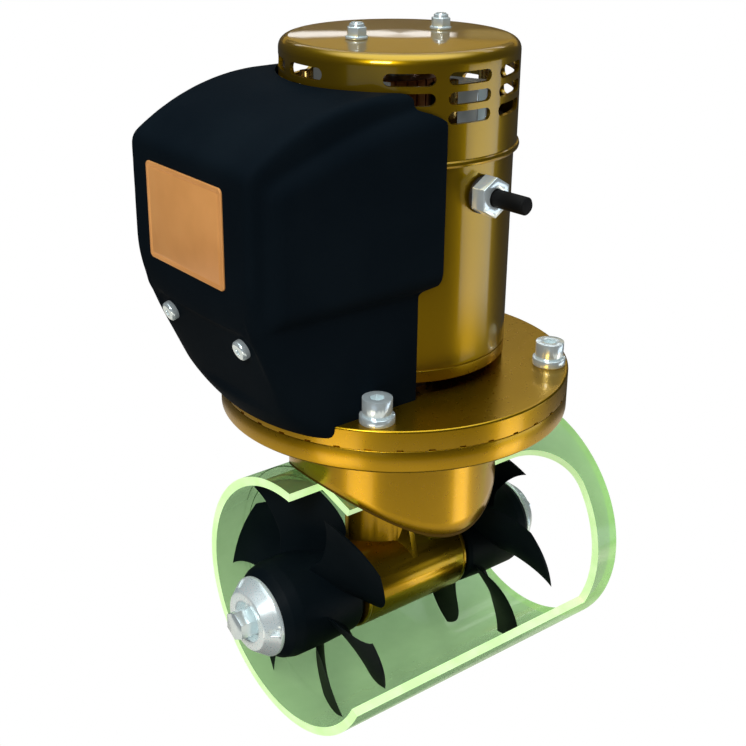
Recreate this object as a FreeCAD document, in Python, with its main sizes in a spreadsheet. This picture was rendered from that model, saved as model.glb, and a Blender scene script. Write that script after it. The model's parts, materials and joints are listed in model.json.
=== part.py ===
import FreeCAD, Part
import math
import os
import re

import Sketcher
from FreeCAD import Placement, Rotation, Vector

# Electric tunnel bow thruster, twin propellers on one shaft, shown in a sectioned tunnel.
# Frame: the origin is where the motor axis (+Z, up) crosses the tunnel axis (X).
# -Y is the side on which the tunnel is cut open, -X the side of the control cover.
# Millimetres and degrees throughout. "Far" is the +X end of the tunnel, "near" the -X end.

doc = FreeCAD.newDocument("BowThruster")
sheet = doc.addObject("Spreadsheet::Sheet", "Sizes")

SIZES = {
    # fits
    "slip_gap": 0.1,
    "running_gap": 0.05,
    # tunnel
    "tunnel_radius": 67,
    "tunnel_wall": 4.5,
    "tunnel_near_length": 68.8,
    "tunnel_far_length": 101.7,
    "window_step": 49,
    "window_reach": 87.5,
    "window_low_angle": 206,
    "window_high_angle": 118,
    "window_near_angle": 115,
    "window_end_angle": 96,
    "window_corner": 30,
    # saddle bracket and flanges
    "saddle_gasket": 1,
    "neck_radius": 52.5,
    "neck_wall": 6,
    "neck_floor_z": 78,
    "flange_radius": 85.4,
    "flange_joint_z": 108.6,
    "bracket_flange": 10.6,
    "foot_flange": 10,
    "flange_bolt": 8,
    "flange_bore": 46.5,
    "seal_radius": 60,
    "seal_section": 3,
    "notch_width": 3,
    "notch_height": 0.9,
    # motor
    "motor_radius": 53.3,
    "motor_wall": 5,
    "foot_window": 8.5,
    "foot_window_angle": 84,
    "collar_height": 14,
    "motor_top_z": 226,
    "cap_radius": 54.6,
    "cap_top_z": 275,
    "cap_wall": 2,
    "cap_corner": 5,
    "cap_bead": 2.4,
    "slot_height": 5.4,
    "slot_angle": 23.5,
    "slot_pitch": 8.25,
    "slot_low_z": 247.5,
    "cap_stud_radius": 24.4,
    "cap_stud": 5,
    "shaft_radius": 6,
    "motor_bearing_radius": 14,
    "motor_bearing_width": 8,
    "core_radius": 30,
    "core_low_z": 152,
    "core_length": 50,
    "air_gap": 1,
    "coil_overhang": 9,
    "commutator_radius": 18.5,
    "commutator_low_z": 229,
    "commutator_length": 28,
    "brush_width": 9,
    "brush_height": 16,
    "brush_ring_z": 234,
    "brush_gap": 0.3,
    "terminal_drop": 14,
    "terminal_angle": -86,
    "terminal_stud": 8,
    "terminal_reach": 80,
    # coupling
    "coupling_radius": 20,
    "coupling_low_z": 91,
    "coupling_hub": 11,
    "coupling_jaw": 9,
    # gear leg
    "leg_gasket": 0.8,
    "leg_flange_radius": 38,
    "leg_flange": 5,
    "leg_tube_radius": 14,
    "leg_tube_top_z": 84,
    "leg_bolt": 8,
    "strut_chord": 58,
    "strut_width": 25,
    "gusset_reach": 22,
    "gusset_chord": 40,
    "gusset_top_z": 40,
    "housing_radius": 24.2,
    "housing_bore": 20,
    "housing_length": 60.8,
    "end_cap_lip": 3,
    "drive_radius": 5,
    "drive_bearing_radius": 11,
    "drive_bearing_width": 8,
    "drive_bearing_low_z": 27,
    "drive_bearing_high_z": 69,
    "gear_chamber": 13.2,
    # bevel pair
    "pinion_pitch": 11,
    "gear_pitch": 16.5,
    "tooth_face": 6,
    "tooth_module": 1.83,
    # propeller shaft and propellers
    "prop_shaft_radius": 6,
    "prop_bearing_radius": 13,
    "prop_bearing_width": 7,
    "prop_bearing_x": 22.5,
    "prop_shaft_end": 95.6,
    "prop_thread_radius": 4,
    "drive_pin": 2,
    "hub_inner_x": 35.6,
    "hub_outer_x": 81.8,
    "hub_radius": 24.8,
    "hub_end_radius": 20.3,
    "blade_tip_radius": 61,
    "blade_tip_x": 60,
    "blade_pitch": 134,
    "blade_root_thickness": 4,
    "blade_tip_thickness": 1.2,
    "blade_skew": 128,
    "anode_length": 8.9,
    "anode_end_radius": 15,
    "anode_recess": 10.5,
    # control cover
    "cover_front_x": 113.7,
    "cover_half_width": 47,
    "cover_wall": 2.5,
    "cover_top_z": 259.2,
    "cover_arch": 108.4,
    "cover_arch_reach": 66.5,
    "cover_chin_z": 169,
    "cover_foot_x": 98,
    "cover_foot_z": 121,
    "cover_skirt": 7,
    "cover_pad": 5,
    "label_width": 60,
    "label_height": 43.3,
    "label_z": 206.4,
    "label_thickness": 0.8,
    "cover_screw_spread": 29,
    "cover_screw_z": 157,
    # relays behind the cover
    "carrier_thickness": 2,
    "relay_radius": 15,
    "relay_height": 40,
    "relay_low_z": 182,
    "relay_spread": 19,
}
BLADES = 6
PINION_TEETH = 12
GEAR_TEETH = 18
COMMUTATOR_BARS = 24
POLES = 4

for row, (alias, value) in enumerate(SIZES.items(), start=1):
    sheet.set("A%d" % row, alias)
    sheet.set("B%d" % row, str(value))
    sheet.setAlias("B%d" % row, alias)
doc.recompute()

ALIAS_WORDS = re.compile(r"\b(" + "|".join(SIZES) + r")\b")
gauge = doc.addObject("Part::Vertex", "Gauge")
nodes = {}


# ---------------------------------------------------------------- helpers


def size(alias):
    """The number a cell of the sheet holds."""
    return float(sheet.get(alias))


def bound(text):
    """The expression with each alias written as a cell of the sheet."""
    return ALIAS_WORDS.sub(r"Sizes.\1", text)


def measure(text):
    """What an expression in the sheet's aliases comes to now."""
    gauge.setExpression("X", bound(text))
    gauge.recompute()
    return gauge.X.Value


def bind(thing, **sizes):
    """Bind properties of an object to expressions in the sheet's aliases."""
    for name, text in sizes.items():
        thing.setExpression(name, bound(text))


def place(thing, at, turn=None):
    """Put an object at three expressions, turned by a fixed rotation."""
    if turn:
        thing.Placement.Rotation = turn
    for axis, text in zip("xyz", at):
        if text != "0":
            thing.setExpression("Placement.Base." + axis, bound(text))
    return thing


ALONG = {
    "Z": None,
    "X": Rotation(Vector(0, 1, 0), 90),
    "Y": Rotation(Vector(1, 0, 0), -90),
}
HERE = ("0", "0", "0")


def rod(name, radius, length, at=HERE, along="Z", turn=None):
    """A round bar from a point along an axis."""
    bar = doc.addObject("Part::Cylinder", name)
    bind(bar, Radius=radius, Height=length)
    return place(bar, at, turn or ALONG[along])


def block(name, length, width, height, at, turn=None):
    """A rectangular block from its lowest corner."""
    box = doc.addObject("Part::Box", name)
    bind(box, Length=length, Width=width, Height=height)
    return place(box, at, turn)


def hexagon(name, across_flats, height, at, turn=None):
    """A six-sided bar, sized across its flats."""
    bar = doc.addObject("Part::Prism", name)
    bar.Polygon = 6
    bind(bar, Circumradius="(%s) / (2 * cos(30))" % across_flats, Height=height)
    return place(bar, at, turn)


def group(name, parts):
    """Several solids kept apart in one object."""
    bunch = doc.addObject("Part::Compound", name)
    bunch.Links = parts
    return bunch


def fuse(name, parts):
    """Several solids made one."""
    joined = doc.addObject("Part::MultiFuse", name)
    joined.Shapes = parts
    joined.Refine = True
    return joined


def cut(name, base, tools):
    """A solid less one or more others, which may overlap each other."""
    result = doc.addObject("Part::Cut", name)
    result.Base = base
    result.Tool = tools[0] if len(tools) == 1 else fuse(name + "_tools", tools)
    result.Refine = True
    return result


def common(name, first, second):
    """What two solids share."""
    result = doc.addObject("Part::Common", name)
    result.Base = first
    result.Tool = second
    result.Refine = True
    return result


def turned_copy(name, source, rotation):
    """The same solid turned about the origin."""
    copy = group(name, [source])
    copy.Placement = Placement(Vector(), rotation)
    return copy


def fixed(name, shape):
    """A shape worked out by this macro from the sheet's numbers."""
    thing = doc.addObject("Part::Feature", name)
    thing.Shape = shape
    return thing


def node(label, thing):
    """Name the object that is exported as one sub-part."""
    thing.Label = label
    nodes[label] = thing
    return thing


def origin_plane(body, role):
    return next(plane for plane in body.Origin.OriginFeatures if plane.Role == role)


def sketch_polygon(body, role, corners, start="0"):
    """A closed sketch through corners whose distances from the origin are all bound."""
    sketch = body.newObject("Sketcher::SketchObject", body.Name + "_sketch")
    sketch.AttachmentSupport = [(origin_plane(body, role), "")]
    sketch.MapMode = "FlatFace"
    if start != "0":
        sketch.setExpression("AttachmentOffset.Base.z", bound(start))
    points = [Vector(measure(across), measure(up), 0) for across, up in corners]
    count = len(points)
    for index in range(count):
        sketch.addGeometry(Part.LineSegment(points[index], points[(index + 1) % count]), False)
    rules = []
    names = []
    for index in range(count):
        rules.append(Sketcher.Constraint("Coincident", index, 2, (index + 1) % count, 1))
        names.append(None)
        for kind, line, value, text in (
            ("DistanceX", -2, points[index].x, corners[index][0]),
            ("DistanceY", -1, points[index].y, corners[index][1]),
        ):
            if abs(value) < 1e-9:
                rules.append(Sketcher.Constraint("PointOnObject", index, 1, line))
                names.append(None)
            elif value > 0:
                rules.append(Sketcher.Constraint(kind, -1, 1, index, 1, value))
                names.append(text)
            else:
                rules.append(Sketcher.Constraint(kind, index, 1, -1, 1, -value))
                names.append("-(%s)" % text)
    sketch.addConstraint(rules)
    for index, text in enumerate(names):
        if text:
            sketch.setExpression("Constraints[%d]" % index, bound(text))
    return sketch


def turned(name, axis, corners):
    """A turned part: its section, as corners (along X, up Z), swept round the X or Z axis."""
    body = doc.addObject("PartDesign::Body", name)
    sketch = sketch_polygon(body, "XZ_Plane", corners)
    sweep = body.newObject("PartDesign::Revolution", name + "_turn")
    sweep.Profile = sketch
    sweep.ReferenceAxis = (sketch, ["H_Axis" if axis == "X" else "V_Axis"])
    sweep.Angle = 360
    body.Tip = sweep
    return body


def plate(name, role, corners, length, start="0", both_ways=False):
    """A flat part: its outline padded away from a plane."""
    body = doc.addObject("PartDesign::Body", name)
    sketch = sketch_polygon(body, role, corners, start)
    pad = body.newObject("PartDesign::Pad", name + "_pad")
    pad.Profile = sketch
    pad.Midplane = both_ways
    pad.setExpression("Length", bound(length))
    body.Tip = pad
    return body


def ring(name, outer, inner, low, high, axis="Z"):
    """A plain ring about the Z or X axis, between two heights."""
    if axis == "Z":
        return turned(name, axis, [(inner, low), (outer, low), (outer, high), (inner, high)])
    return turned(name, axis, [(low, inner), (high, inner), (high, outer), (low, outer)])


def around(count, first=0.0):
    """Angles spaced evenly round a circle."""
    return [first + 360.0 * index / count for index in range(count)]


def spot(radius, angle, height="0"):
    """Where a point on a circle about Z lies, as three expressions."""
    return ("(%s) * cos(%s)" % (radius, angle), "(%s) * sin(%s)" % (radius, angle), height)


def sector(name, radius, length, at, first, last, along="Z"):
    """A slice of a cylinder between two angles, each an expression."""
    slice_of = doc.addObject("Part::Cylinder", name)
    bind(slice_of, Radius=radius, Height=length, Angle="(%s) - (%s)" % (last, first))
    about = Vector(0, 0, 1)
    lay = Rotation() if along == "Z" else Rotation(Vector(1, 1, 1), 120)
    place(slice_of, at, lay.multiply(Rotation(about, measure(first))))
    return slice_of


LEG_CIRCLE = "(leg_flange_radius - 0.95 * leg_bolt)"
TERMINAL_Z = "(motor_top_z - terminal_drop)"

# ---------------------------------------------------------------- tunnel


def make_tunnel():
    """Glass-fibre tube, sectioned on one side: a stepped window with one round corner."""
    tube = ring("TunnelTube", "tunnel_radius", "tunnel_radius - tunnel_wall",
                "-tunnel_near_length", "tunnel_far_length", "X")
    deep = "tunnel_radius + 10"
    main = sector("WindowMain", deep, "window_step + window_reach", ("-window_step", "0", "0"),
                  "window_high_angle", "window_low_angle", along="X")
    doc.recompute()
    rounded = doc.addObject("Part::Fillet", "WindowRounded")
    rounded.Base = main
    rounded.Edges = [(window_corner_edge(main.Shape), size("window_corner"), size("window_corner"))]
    near = sector("WindowNear", deep, "window_step + 1", ("-window_step", "0", "0"),
                  "window_near_angle", "window_low_angle", along="X")
    end = sector("WindowEnd", deep, "tunnel_near_length - window_step + 20",
                 ("-tunnel_near_length - 20", "0", "0"), "window_end_angle", "window_low_angle", along="X")
    overlap = sector("WindowJoin", deep, "2", ("-window_step - 1", "0", "0"),
                     "window_near_angle", "window_low_angle", along="X")
    bores = [rod("TunnelLegHole", "leg_tube_radius + slip_gap", "tunnel_radius + 5")]
    for index, angle in enumerate(around(4, 45)):
        bores.append(rod("TunnelBoltHole%d" % index, "leg_bolt / 2 + 0.5", "tunnel_radius + 5",
                         spot(LEG_CIRCLE, angle)))
    return node("tunnel", cut("TunnelCut", tube, [rounded, near, end, overlap] + bores))


def window_corner_edge(shape):
    """The radial edge of the window's slice at its far end and upper side."""
    high = math.radians(size("window_high_angle"))
    for number, edge in enumerate(shape.Edges, start=1):
        ends = [vertex.Point for vertex in edge.Vertexes]
        if len(ends) == 2 and all(abs(end.x - size("window_reach")) < 1e-6 for end in ends):
            outer = max(ends, key=lambda end: end.y ** 2 + end.z ** 2)
            inner = min(ends, key=lambda end: end.y ** 2 + end.z ** 2)
            if inner.y ** 2 + inner.z ** 2 < 1e-6:
                if abs(math.atan2(outer.z, outer.y) - high) < 1e-3:
                    return number
    raise RuntimeError("the window's corner edge was not found")


# ---------------------------------------------------------------- saddle bracket and flanges

BRACKET_LOW = "flange_joint_z - bracket_flange"
FOOT_TOP = "flange_joint_z + foot_flange"
SADDLE = "tunnel_radius + saddle_gasket"
FLANGE_ANGLES = around(4, 45)
FLANGE_CIRCLE = "(flange_radius - 1.2 * flange_bolt)"


def flange_holes(name, radius, low, length):
    return [rod("%s%d" % (name, index), radius, length, spot(FLANGE_CIRCLE, angle, low))
            for index, angle in enumerate(FLANGE_ANGLES)]


def make_bracket():
    """Round flange on a neck whose foot is shaped to sit on the tunnel."""
    blank = turned("BracketBlank", "Z", [
        ("0", "30"), ("neck_radius", "30"), ("neck_radius", BRACKET_LOW + " - 2"),
        ("neck_radius + 2", BRACKET_LOW), ("flange_radius", BRACKET_LOW),
        ("flange_radius", "flange_joint_z"), ("neck_radius - neck_wall", "flange_joint_z"),
        ("neck_radius - neck_wall", "neck_floor_z"), ("0", "neck_floor_z")])
    saddle = rod("BracketSaddle", SADDLE, "4 * neck_radius", ("-2 * neck_radius", "0", "0"), "X")
    tools = [saddle, rod("BracketTubeHole", "leg_tube_radius + slip_gap", "neck_floor_z + 5")]
    for index, angle in enumerate(around(4, 45)):
        tools.append(rod("BracketBoltHole%d" % index, "leg_bolt / 2 + 0.5", "neck_floor_z + 5",
                         spot(LEG_CIRCLE, angle)))
    tools += flange_holes("BracketFlangeHole", "flange_bolt / 2", BRACKET_LOW + " - 1",
                          "bracket_flange + 2")
    return node("saddle_bracket", cut("BracketCut", blank, tools))


def make_saddle_gasket():
    """Rubber sheet between the bracket's foot and the tunnel."""
    outer = rod("GasketOutside", SADDLE, "4 * neck_radius", ("-2 * neck_radius", "0", "0"), "X")
    disc = ring("GasketDisc", "neck_radius", "leg_tube_radius + 2", "20", "flange_joint_z - bracket_flange")
    blank = common("GasketBlank", disc, outer)
    tools = [rod("GasketInside", "tunnel_radius", "4 * neck_radius", ("-2 * neck_radius", "0", "0"), "X")]
    for index, angle in enumerate(around(4, 45)):
        tools.append(rod("GasketBoltHole%d" % index, "leg_bolt / 2 + 0.5", "neck_floor_z + 5",
                         spot(LEG_CIRCLE, angle)))
    return node("saddle_gasket", cut("GasketCut", blank, tools))


def make_motor_foot():
    """Upper flange with a collar; two windows in the collar show the coupling."""
    blank = turned("FootBlank", "Z", [
        ("flange_bore", "flange_joint_z"), ("flange_radius", "flange_joint_z"),
        ("flange_radius", FOOT_TOP), ("motor_radius", FOOT_TOP),
        ("motor_radius", FOOT_TOP + " + collar_height"),
        ("motor_radius - motor_wall", FOOT_TOP + " + collar_height"),
        ("motor_radius - motor_wall", FOOT_TOP), ("flange_bore", FOOT_TOP)])
    tools = flange_holes("FootFlangeHole", "flange_bolt / 2 + 0.5", "flange_joint_z - 1", "foot_flange + 2")
    for index, middle in enumerate((-80, 80)):
        tools.append(sector("FootWindow%d" % index, "motor_radius + 5", "foot_window",
                            ("0", "0", FOOT_TOP), "%d - foot_window_angle / 2" % middle,
                            "%d + foot_window_angle / 2" % middle))
    groove = ring("FootSealGroove", "seal_radius + seal_section", "seal_radius",
                  "flange_joint_z - 1", "flange_joint_z + 0.7 * seal_section")
    tools.append(groove)
    for index, angle in enumerate(around(38, 5.2)):
        notch = block("FootNotch%d" % index, "4", "notch_width", "notch_height + 1", HERE)
        notch.Placement = Placement(Vector(), Rotation(Vector(0, 0, 1), angle))
        turn = math.radians(angle)
        side = "notch_width / 2"
        place(notch, ("(flange_radius - 1.2) * %.6f + %s * %.6f" % (math.cos(turn), side, math.sin(turn)),
                      "(flange_radius - 1.2) * %.6f - %s * %.6f" % (math.sin(turn), side, math.cos(turn)),
                      "flange_joint_z - 1"))
        tools.append(notch)
    return node("motor_foot", cut("FootCut", blank, tools))


def make_flange_seal():
    """Square-section seal in the upper flange's groove, flush with the joint."""
    return node("flange_seal", ring("FlangeSeal", "seal_radius + seal_section - slip_gap",
                                    "seal_radius + slip_gap", "flange_joint_z",
                                    "flange_joint_z + 0.7 * seal_section - slip_gap"))


def cap_screw(name, thread, head_low, grip, angle, circle):
    """Socket-head cap screw, head up, in metric proportions of its thread size."""
    shank = rod(name + "Shank", "%s / 2 - slip_gap" % thread, "(%s) + 0.2" % grip,
                spot(circle, angle, "(%s) - (%s)" % (head_low, grip)))
    head = rod(name + "Head", "0.85 * %s" % thread, thread, spot(circle, angle, head_low))
    socket = hexagon(name + "Socket", "0.75 * %s" % thread, thread,
                     spot(circle, angle, "(%s) + 0.5 * %s" % (head_low, thread)))
    return cut(name, fuse(name + "Body", [shank, head]), [socket])


def make_flange_screws():
    """Four screws with split lock washers clamp the motor foot to the bracket."""
    washer = "0.45 * flange_bolt"
    screws = []
    washers = []
    for index, angle in enumerate(FLANGE_ANGLES):
        screws.append(cap_screw("FlangeScrew%d" % index, "flange_bolt", "%s + %s" % (FOOT_TOP, washer),
                                "%s + foot_flange + bracket_flange - 1" % washer, angle,
                                FLANGE_CIRCLE))
        outer = rod("LockWasherBlank%d" % index, "flange_bolt", washer,
                    spot(FLANGE_CIRCLE, angle, FOOT_TOP))
        hole = rod("LockWasherHole%d" % index, "flange_bolt / 2 + 0.2", washer + " + 2",
                   spot(FLANGE_CIRCLE, angle, FOOT_TOP + " - 1"))
        split = block("LockWasherSplit%d" % index, "flange_bolt + 2", "0.9", washer + " + 2",
                      spot(FLANGE_CIRCLE, angle, FOOT_TOP + " - 1"),
                      Rotation(Vector(0, 0, 1), -50))
        washers.append(cut("LockWasher%d" % index, outer, [hole, split]))
    node("flange_screws", group("FlangeScrews", screws))
    node("lock_washers", group("LockWashers", washers))


# ---------------------------------------------------------------- motor

TUBE_LOW = FOOT_TOP + " + collar_height"
SHIELD_LOW = FOOT_TOP + " + foot_window + 0.4"
BEARING_TOP = "cap_top_z - cap_wall - 1"


def make_motor_tube():
    """Field tube between foot and cap, with a hole for the terminal's bush."""
    tube = ring("MotorTubeBlank", "motor_radius", "motor_radius - motor_wall", TUBE_LOW, "motor_top_z")
    hole = rod("TerminalHole", "terminal_stud / 2 + 2", "motor_radius + 5", ("0", "0", TERMINAL_Z),
               turn=radial_turn())
    return node("motor_tube", cut("MotorTubeCut", tube, [hole]))


def radial_turn():
    """Lays the Z axis along the terminal's radius."""
    outward = Rotation(Vector(0, 0, 1), size("terminal_angle"))
    return outward.multiply(Rotation(Vector(0, 1, 0), 90))


def make_terminal():
    """Insulated terminal stud through the tube, with its nut and bush."""
    angle = "terminal_angle"
    turn = radial_turn()
    nut_face = "motor_radius + 1.9 + 0.9 * terminal_stud"
    inner = rod("StudInner", "terminal_stud / 2", "(%s) - (motor_radius - motor_wall - 4)" % nut_face,
                spot("motor_radius - motor_wall - 4", angle, TERMINAL_Z), turn=turn)
    neck = rod("StudNeck", "0.43 * terminal_stud", "terminal_reach - 1 - (%s)" % nut_face,
               spot(nut_face, angle, TERMINAL_Z), turn=turn)
    free = rod("StudFree", "terminal_stud / 2", "terminal_reach - 1.8 - (%s)" % nut_face,
               spot(nut_face + " + 1", angle, TERMINAL_Z), turn=turn)
    tip = doc.addObject("Part::Cone", "StudTip")
    bind(tip, Radius1="terminal_stud / 2", Radius2="terminal_stud / 2 - 0.8", Height="0.8")
    place(tip, spot("terminal_reach - 0.8", angle, TERMINAL_Z), turn)
    node("terminal_stud", fuse("TerminalStud", [inner, neck, free, tip]))
    bush = rod("TerminalBushBlank", "terminal_stud / 2 + 2 - slip_gap", "motor_wall + 1",
               spot("motor_radius - motor_wall - 0.5", angle, TERMINAL_Z), turn=turn)
    flange = rod("TerminalBushFlange", "terminal_stud + 0.5", "1.5",
                 spot("motor_radius + 0.4", angle, TERMINAL_Z), turn=turn)
    bore = rod("TerminalBushBore", "terminal_stud / 2 + slip_gap", "20",
               spot("motor_radius - 12", angle, TERMINAL_Z), turn=turn)
    node("terminal_bush", cut("TerminalBush", fuse("TerminalBushBody", [bush, flange]), [bore]))
    nut = hexagon("TerminalNutBlank", "2 * terminal_stud", "0.9 * terminal_stud",
                  spot("motor_radius + 1.9", angle, TERMINAL_Z), turn)
    nut_bore = rod("TerminalNutBore", "terminal_stud / 2 + slip_gap", "20",
                   spot("motor_radius", angle, TERMINAL_Z), turn=turn)
    node("terminal_nut", cut("TerminalNut", nut, [nut_bore]))


def make_vent_cap():
    """Pressed cap: rounded crown, bead at its edge, three rows of slots in groups."""
    body = turned("CapShell", "Z", [
        ("cap_radius", "motor_top_z"), ("cap_radius", "cap_top_z"), ("0", "cap_top_z"),
        ("0", "cap_top_z - cap_wall - motor_bearing_width"),
        ("motor_bearing_radius + 3", "cap_top_z - cap_wall - motor_bearing_width"),
        ("motor_bearing_radius + 3", "cap_top_z - cap_wall"),
        ("cap_radius - cap_wall", "cap_top_z - cap_wall"), ("cap_radius - cap_wall", "motor_top_z")])
    doc.recompute()
    turn = body.Tip
    crown = body.newObject("PartDesign::Fillet", "CapCrown")
    crown.Base = (turn, [circle_edge(turn.Shape, size("cap_radius"), size("cap_top_z"))])
    crown.setExpression("Radius", bound("cap_corner"))
    body.Tip = crown
    bead = turned("CapBead", "Z", [
        ("cap_radius - 0.5", "motor_top_z"), ("cap_radius + 0.3 * cap_bead", "motor_top_z"),
        ("cap_radius + 0.5 * cap_bead", "motor_top_z + 0.3 * cap_bead"),
        ("cap_radius + 0.5 * cap_bead", "motor_top_z + 0.7 * cap_bead"),
        ("cap_radius + 0.3 * cap_bead", "motor_top_z + cap_bead"),
        ("cap_radius - 0.5", "motor_top_z + cap_bead")])
    tools = [rod("CapBearingSeat", "motor_bearing_radius + slip_gap", "motor_bearing_width",
                 ("0", "0", BEARING_TOP + " - motor_bearing_width"))]
    for index, angle in enumerate((0, 180)):
        tools.append(rod("CapStudHole%d" % index, "cap_stud / 2 + 0.3", "cap_wall + 2",
                         spot("cap_stud_radius", angle, "cap_top_z - cap_wall - 1")))
    slots = vent_slots()
    return node("vent_cap", cut("CapCut", fuse("CapBody", [body, bead]), tools + [slots]))


def circle_edge(shape, radius, height):
    """The name of the round edge about Z with this radius at this height."""
    for number, edge in enumerate(shape.Edges, start=1):
        curve = edge.Curve
        if isinstance(curve, Part.Circle) and abs(curve.Radius - radius) < 1e-5:
            if abs(curve.Center.z - height) < 1e-5:
                return "Edge%d" % number
    raise RuntimeError("no round edge of radius %g at height %g" % (radius, height))


def vent_slots():
    """All vent slots: obround cutters, laid radially, at the columns of both half turns."""
    columns = [angle + half for half in (0, 180) for angle in (-207, -178, -125, -95.5, -66)]
    radius = size("cap_radius")
    half = size("slot_height") / 2
    reach = radius * math.sin(math.radians(size("slot_angle") / 2)) - half
    outline = [Vector(0, -reach, -half), Vector(0, reach, -half), Vector(0, reach, half),
               Vector(0, -reach, half)]
    edges = [Part.LineSegment(outline[0], outline[1]).toShape(),
             Part.Arc(outline[1], Vector(0, reach + half, 0), outline[2]).toShape(),
             Part.LineSegment(outline[2], outline[3]).toShape(),
             Part.Arc(outline[3], Vector(0, -reach - half, 0), outline[0]).toShape()]
    cutter = Part.Face(Part.Wire(edges)).extrude(Vector(radius, 0, 0))
    cutters = []
    for angle in columns:
        for row in range(3):
            piece = cutter.copy()
            piece.translate(Vector(radius / 2, 0, size("slot_low_z") + row * size("slot_pitch")))
            piece.rotate(Vector(), Vector(0, 0, 1), angle)
            cutters.append(piece)
    return fixed("CapSlots", Part.makeCompound(cutters))


def make_cap_fixings():
    """Two studs from the brush ring hold the cap down with washers and nuts."""
    studs, nuts, washers = [], [], []
    for index, angle in enumerate((0, 180)):
        bolt = rod("CapStudShank%d" % index, "cap_stud / 2 - slip_gap", "cap_top_z + 7 - brush_ring_z",
                   spot("cap_stud_radius", angle, "brush_ring_z"))
        foot = rod("CapStudHead%d" % index, "0.8 * cap_stud", "2",
                   spot("cap_stud_radius", angle, "brush_ring_z - 2"))
        spacer = rod("CapStudSpacer%d" % index, "0.72 * cap_stud",
                     "cap_top_z - cap_wall - brush_ring_z - 4",
                     spot("cap_stud_radius", angle, "brush_ring_z + 4"))
        studs.append(fuse("CapStud%d" % index, [bolt, foot, spacer]))
        blank = rod("CapWasherBlank%d" % index, "cap_stud", "1",
                    spot("cap_stud_radius", angle, "cap_top_z"))
        hole = rod("CapWasherHole%d" % index, "cap_stud / 2 + 0.2", "3",
                   spot("cap_stud_radius", angle, "cap_top_z - 1"))
        washers.append(cut("CapWasher%d" % index, blank, [hole]))
        hexed = hexagon("CapNutHex%d" % index, "1.6 * cap_stud", "0.8 * cap_stud",
                        spot("cap_stud_radius", angle, "cap_top_z + 1"))
        collar = rod("CapNutCollar%d" % index, "0.66 * cap_stud", "1.1 * cap_stud",
                     spot("cap_stud_radius", angle, "cap_top_z + 1"))
        thread = rod("CapNutBore%d" % index, "cap_stud / 2", "10",
                     spot("cap_stud_radius", angle, "cap_top_z"))
        nuts.append(cut("CapNut%d" % index, fuse("CapNutBody%d" % index, [hexed, collar]), [thread]))
    node("cap_studs", group("CapStuds", studs))
    node("cap_nuts", group("CapNuts", nuts))
    node("cap_washers", group("CapWashers", washers))


def make_drive_shield():
    """Bearing shield spigoted into the foot's collar and the field tube."""
    inside = "motor_radius - motor_wall - slip_gap"
    return node("drive_end_shield", turned("DriveShield", "Z", [
        ("motor_bearing_radius - 2", SHIELD_LOW), (inside, SHIELD_LOW),
        (inside, TUBE_LOW + " + 3"), (inside + " - 4", TUBE_LOW + " + 3"),
        (inside + " - 4", SHIELD_LOW + " + 4"),
        ("motor_bearing_radius + 4", SHIELD_LOW + " + 4"),
        ("motor_bearing_radius + 4", SHIELD_LOW + " + 2 + motor_bearing_width"),
        ("motor_bearing_radius + slip_gap", SHIELD_LOW + " + 2 + motor_bearing_width"),
        ("motor_bearing_radius + slip_gap", SHIELD_LOW + " + 2"),
        ("motor_bearing_radius - 2", SHIELD_LOW + " + 2")]))


def bearing(name, shaft, outside, low, width, axis="Z"):
    """A shielded ball bearing: an outer race with its shields and an inner race that turns in it."""
    split = "(%s) + 2.5" % shaft
    high = "(%s) + %s" % (low, width)
    outer = ring(name + "Outer", outside, split + " + running_gap", low, high, axis)
    inner = ring(name + "Inner", split, shaft, low, high, axis)
    return outer, inner


def make_motor_bearings():
    low = bearing("DriveEndBearing", "shaft_radius", "motor_bearing_radius", SHIELD_LOW + " + 2",
                  "motor_bearing_width")
    high = bearing("CapBearing", "shaft_radius", "motor_bearing_radius",
                   BEARING_TOP + " - motor_bearing_width", "motor_bearing_width")
    node("motor_bearings", group("MotorBearings", [low[0], high[0]]))
    node("motor_inner_races", group("MotorInnerRaces", [low[1], high[1]]))


def make_armature():
    """Shaft, laminated core, end windings and commutator."""
    core_high = "core_low_z + core_length"
    node("armature_shaft", rod("ArmatureShaft", "shaft_radius", "%s - (coupling_low_z + coupling_hub + coupling_jaw + 1)"
                               % BEARING_TOP, ("0", "0", "coupling_low_z + coupling_hub + coupling_jaw + 1")))
    core = ring("ArmatureCoreBlank", "core_radius", "shaft_radius", "core_low_z", core_high)
    slots = [rod("CoreSlot%d" % index, "1.6", "core_length + 2", spot("core_radius - 1", angle, "core_low_z - 1"))
             for index, angle in enumerate(around(12))]
    node("armature_core", cut("ArmatureCore", core, [group("CoreSlots", slots)]))
    ends = [ring("EndTurnsLow", "core_radius - 3", "shaft_radius + 2", "core_low_z - 10", "core_low_z"),
            ring("EndTurnsHigh", "core_radius - 3", "shaft_radius + 2", core_high, core_high + " + 10")]
    for number, (low, high) in enumerate((("core_low_z - 10", "core_low_z"), (core_high, core_high + " + 10"))):
        ends.append(ring("EndSleeve%d" % number, "shaft_radius + 2", "shaft_radius", low, high))
    windings = [fuse("WindingLow", [ends[0], ends[2]]), fuse("WindingHigh", [ends[1], ends[3]])]
    node("armature_windings", group("ArmatureWindings", windings))
    blank = ring("CommutatorBlank", "commutator_radius", "shaft_radius", "commutator_low_z",
                 "commutator_low_z + commutator_length")
    gaps = []
    for index, angle in enumerate(around(COMMUTATOR_BARS)):
        gap = block("CommutatorGap%d" % index, "3", "0.8", "commutator_length + 2",
                    spot("commutator_radius - 1.2", angle, "commutator_low_z - 1"),
                    Rotation(Vector(0, 0, 1), angle))
        gaps.append(gap)
    node("commutator", cut("Commutator", blank, [group("CommutatorGaps", gaps)]))


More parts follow.
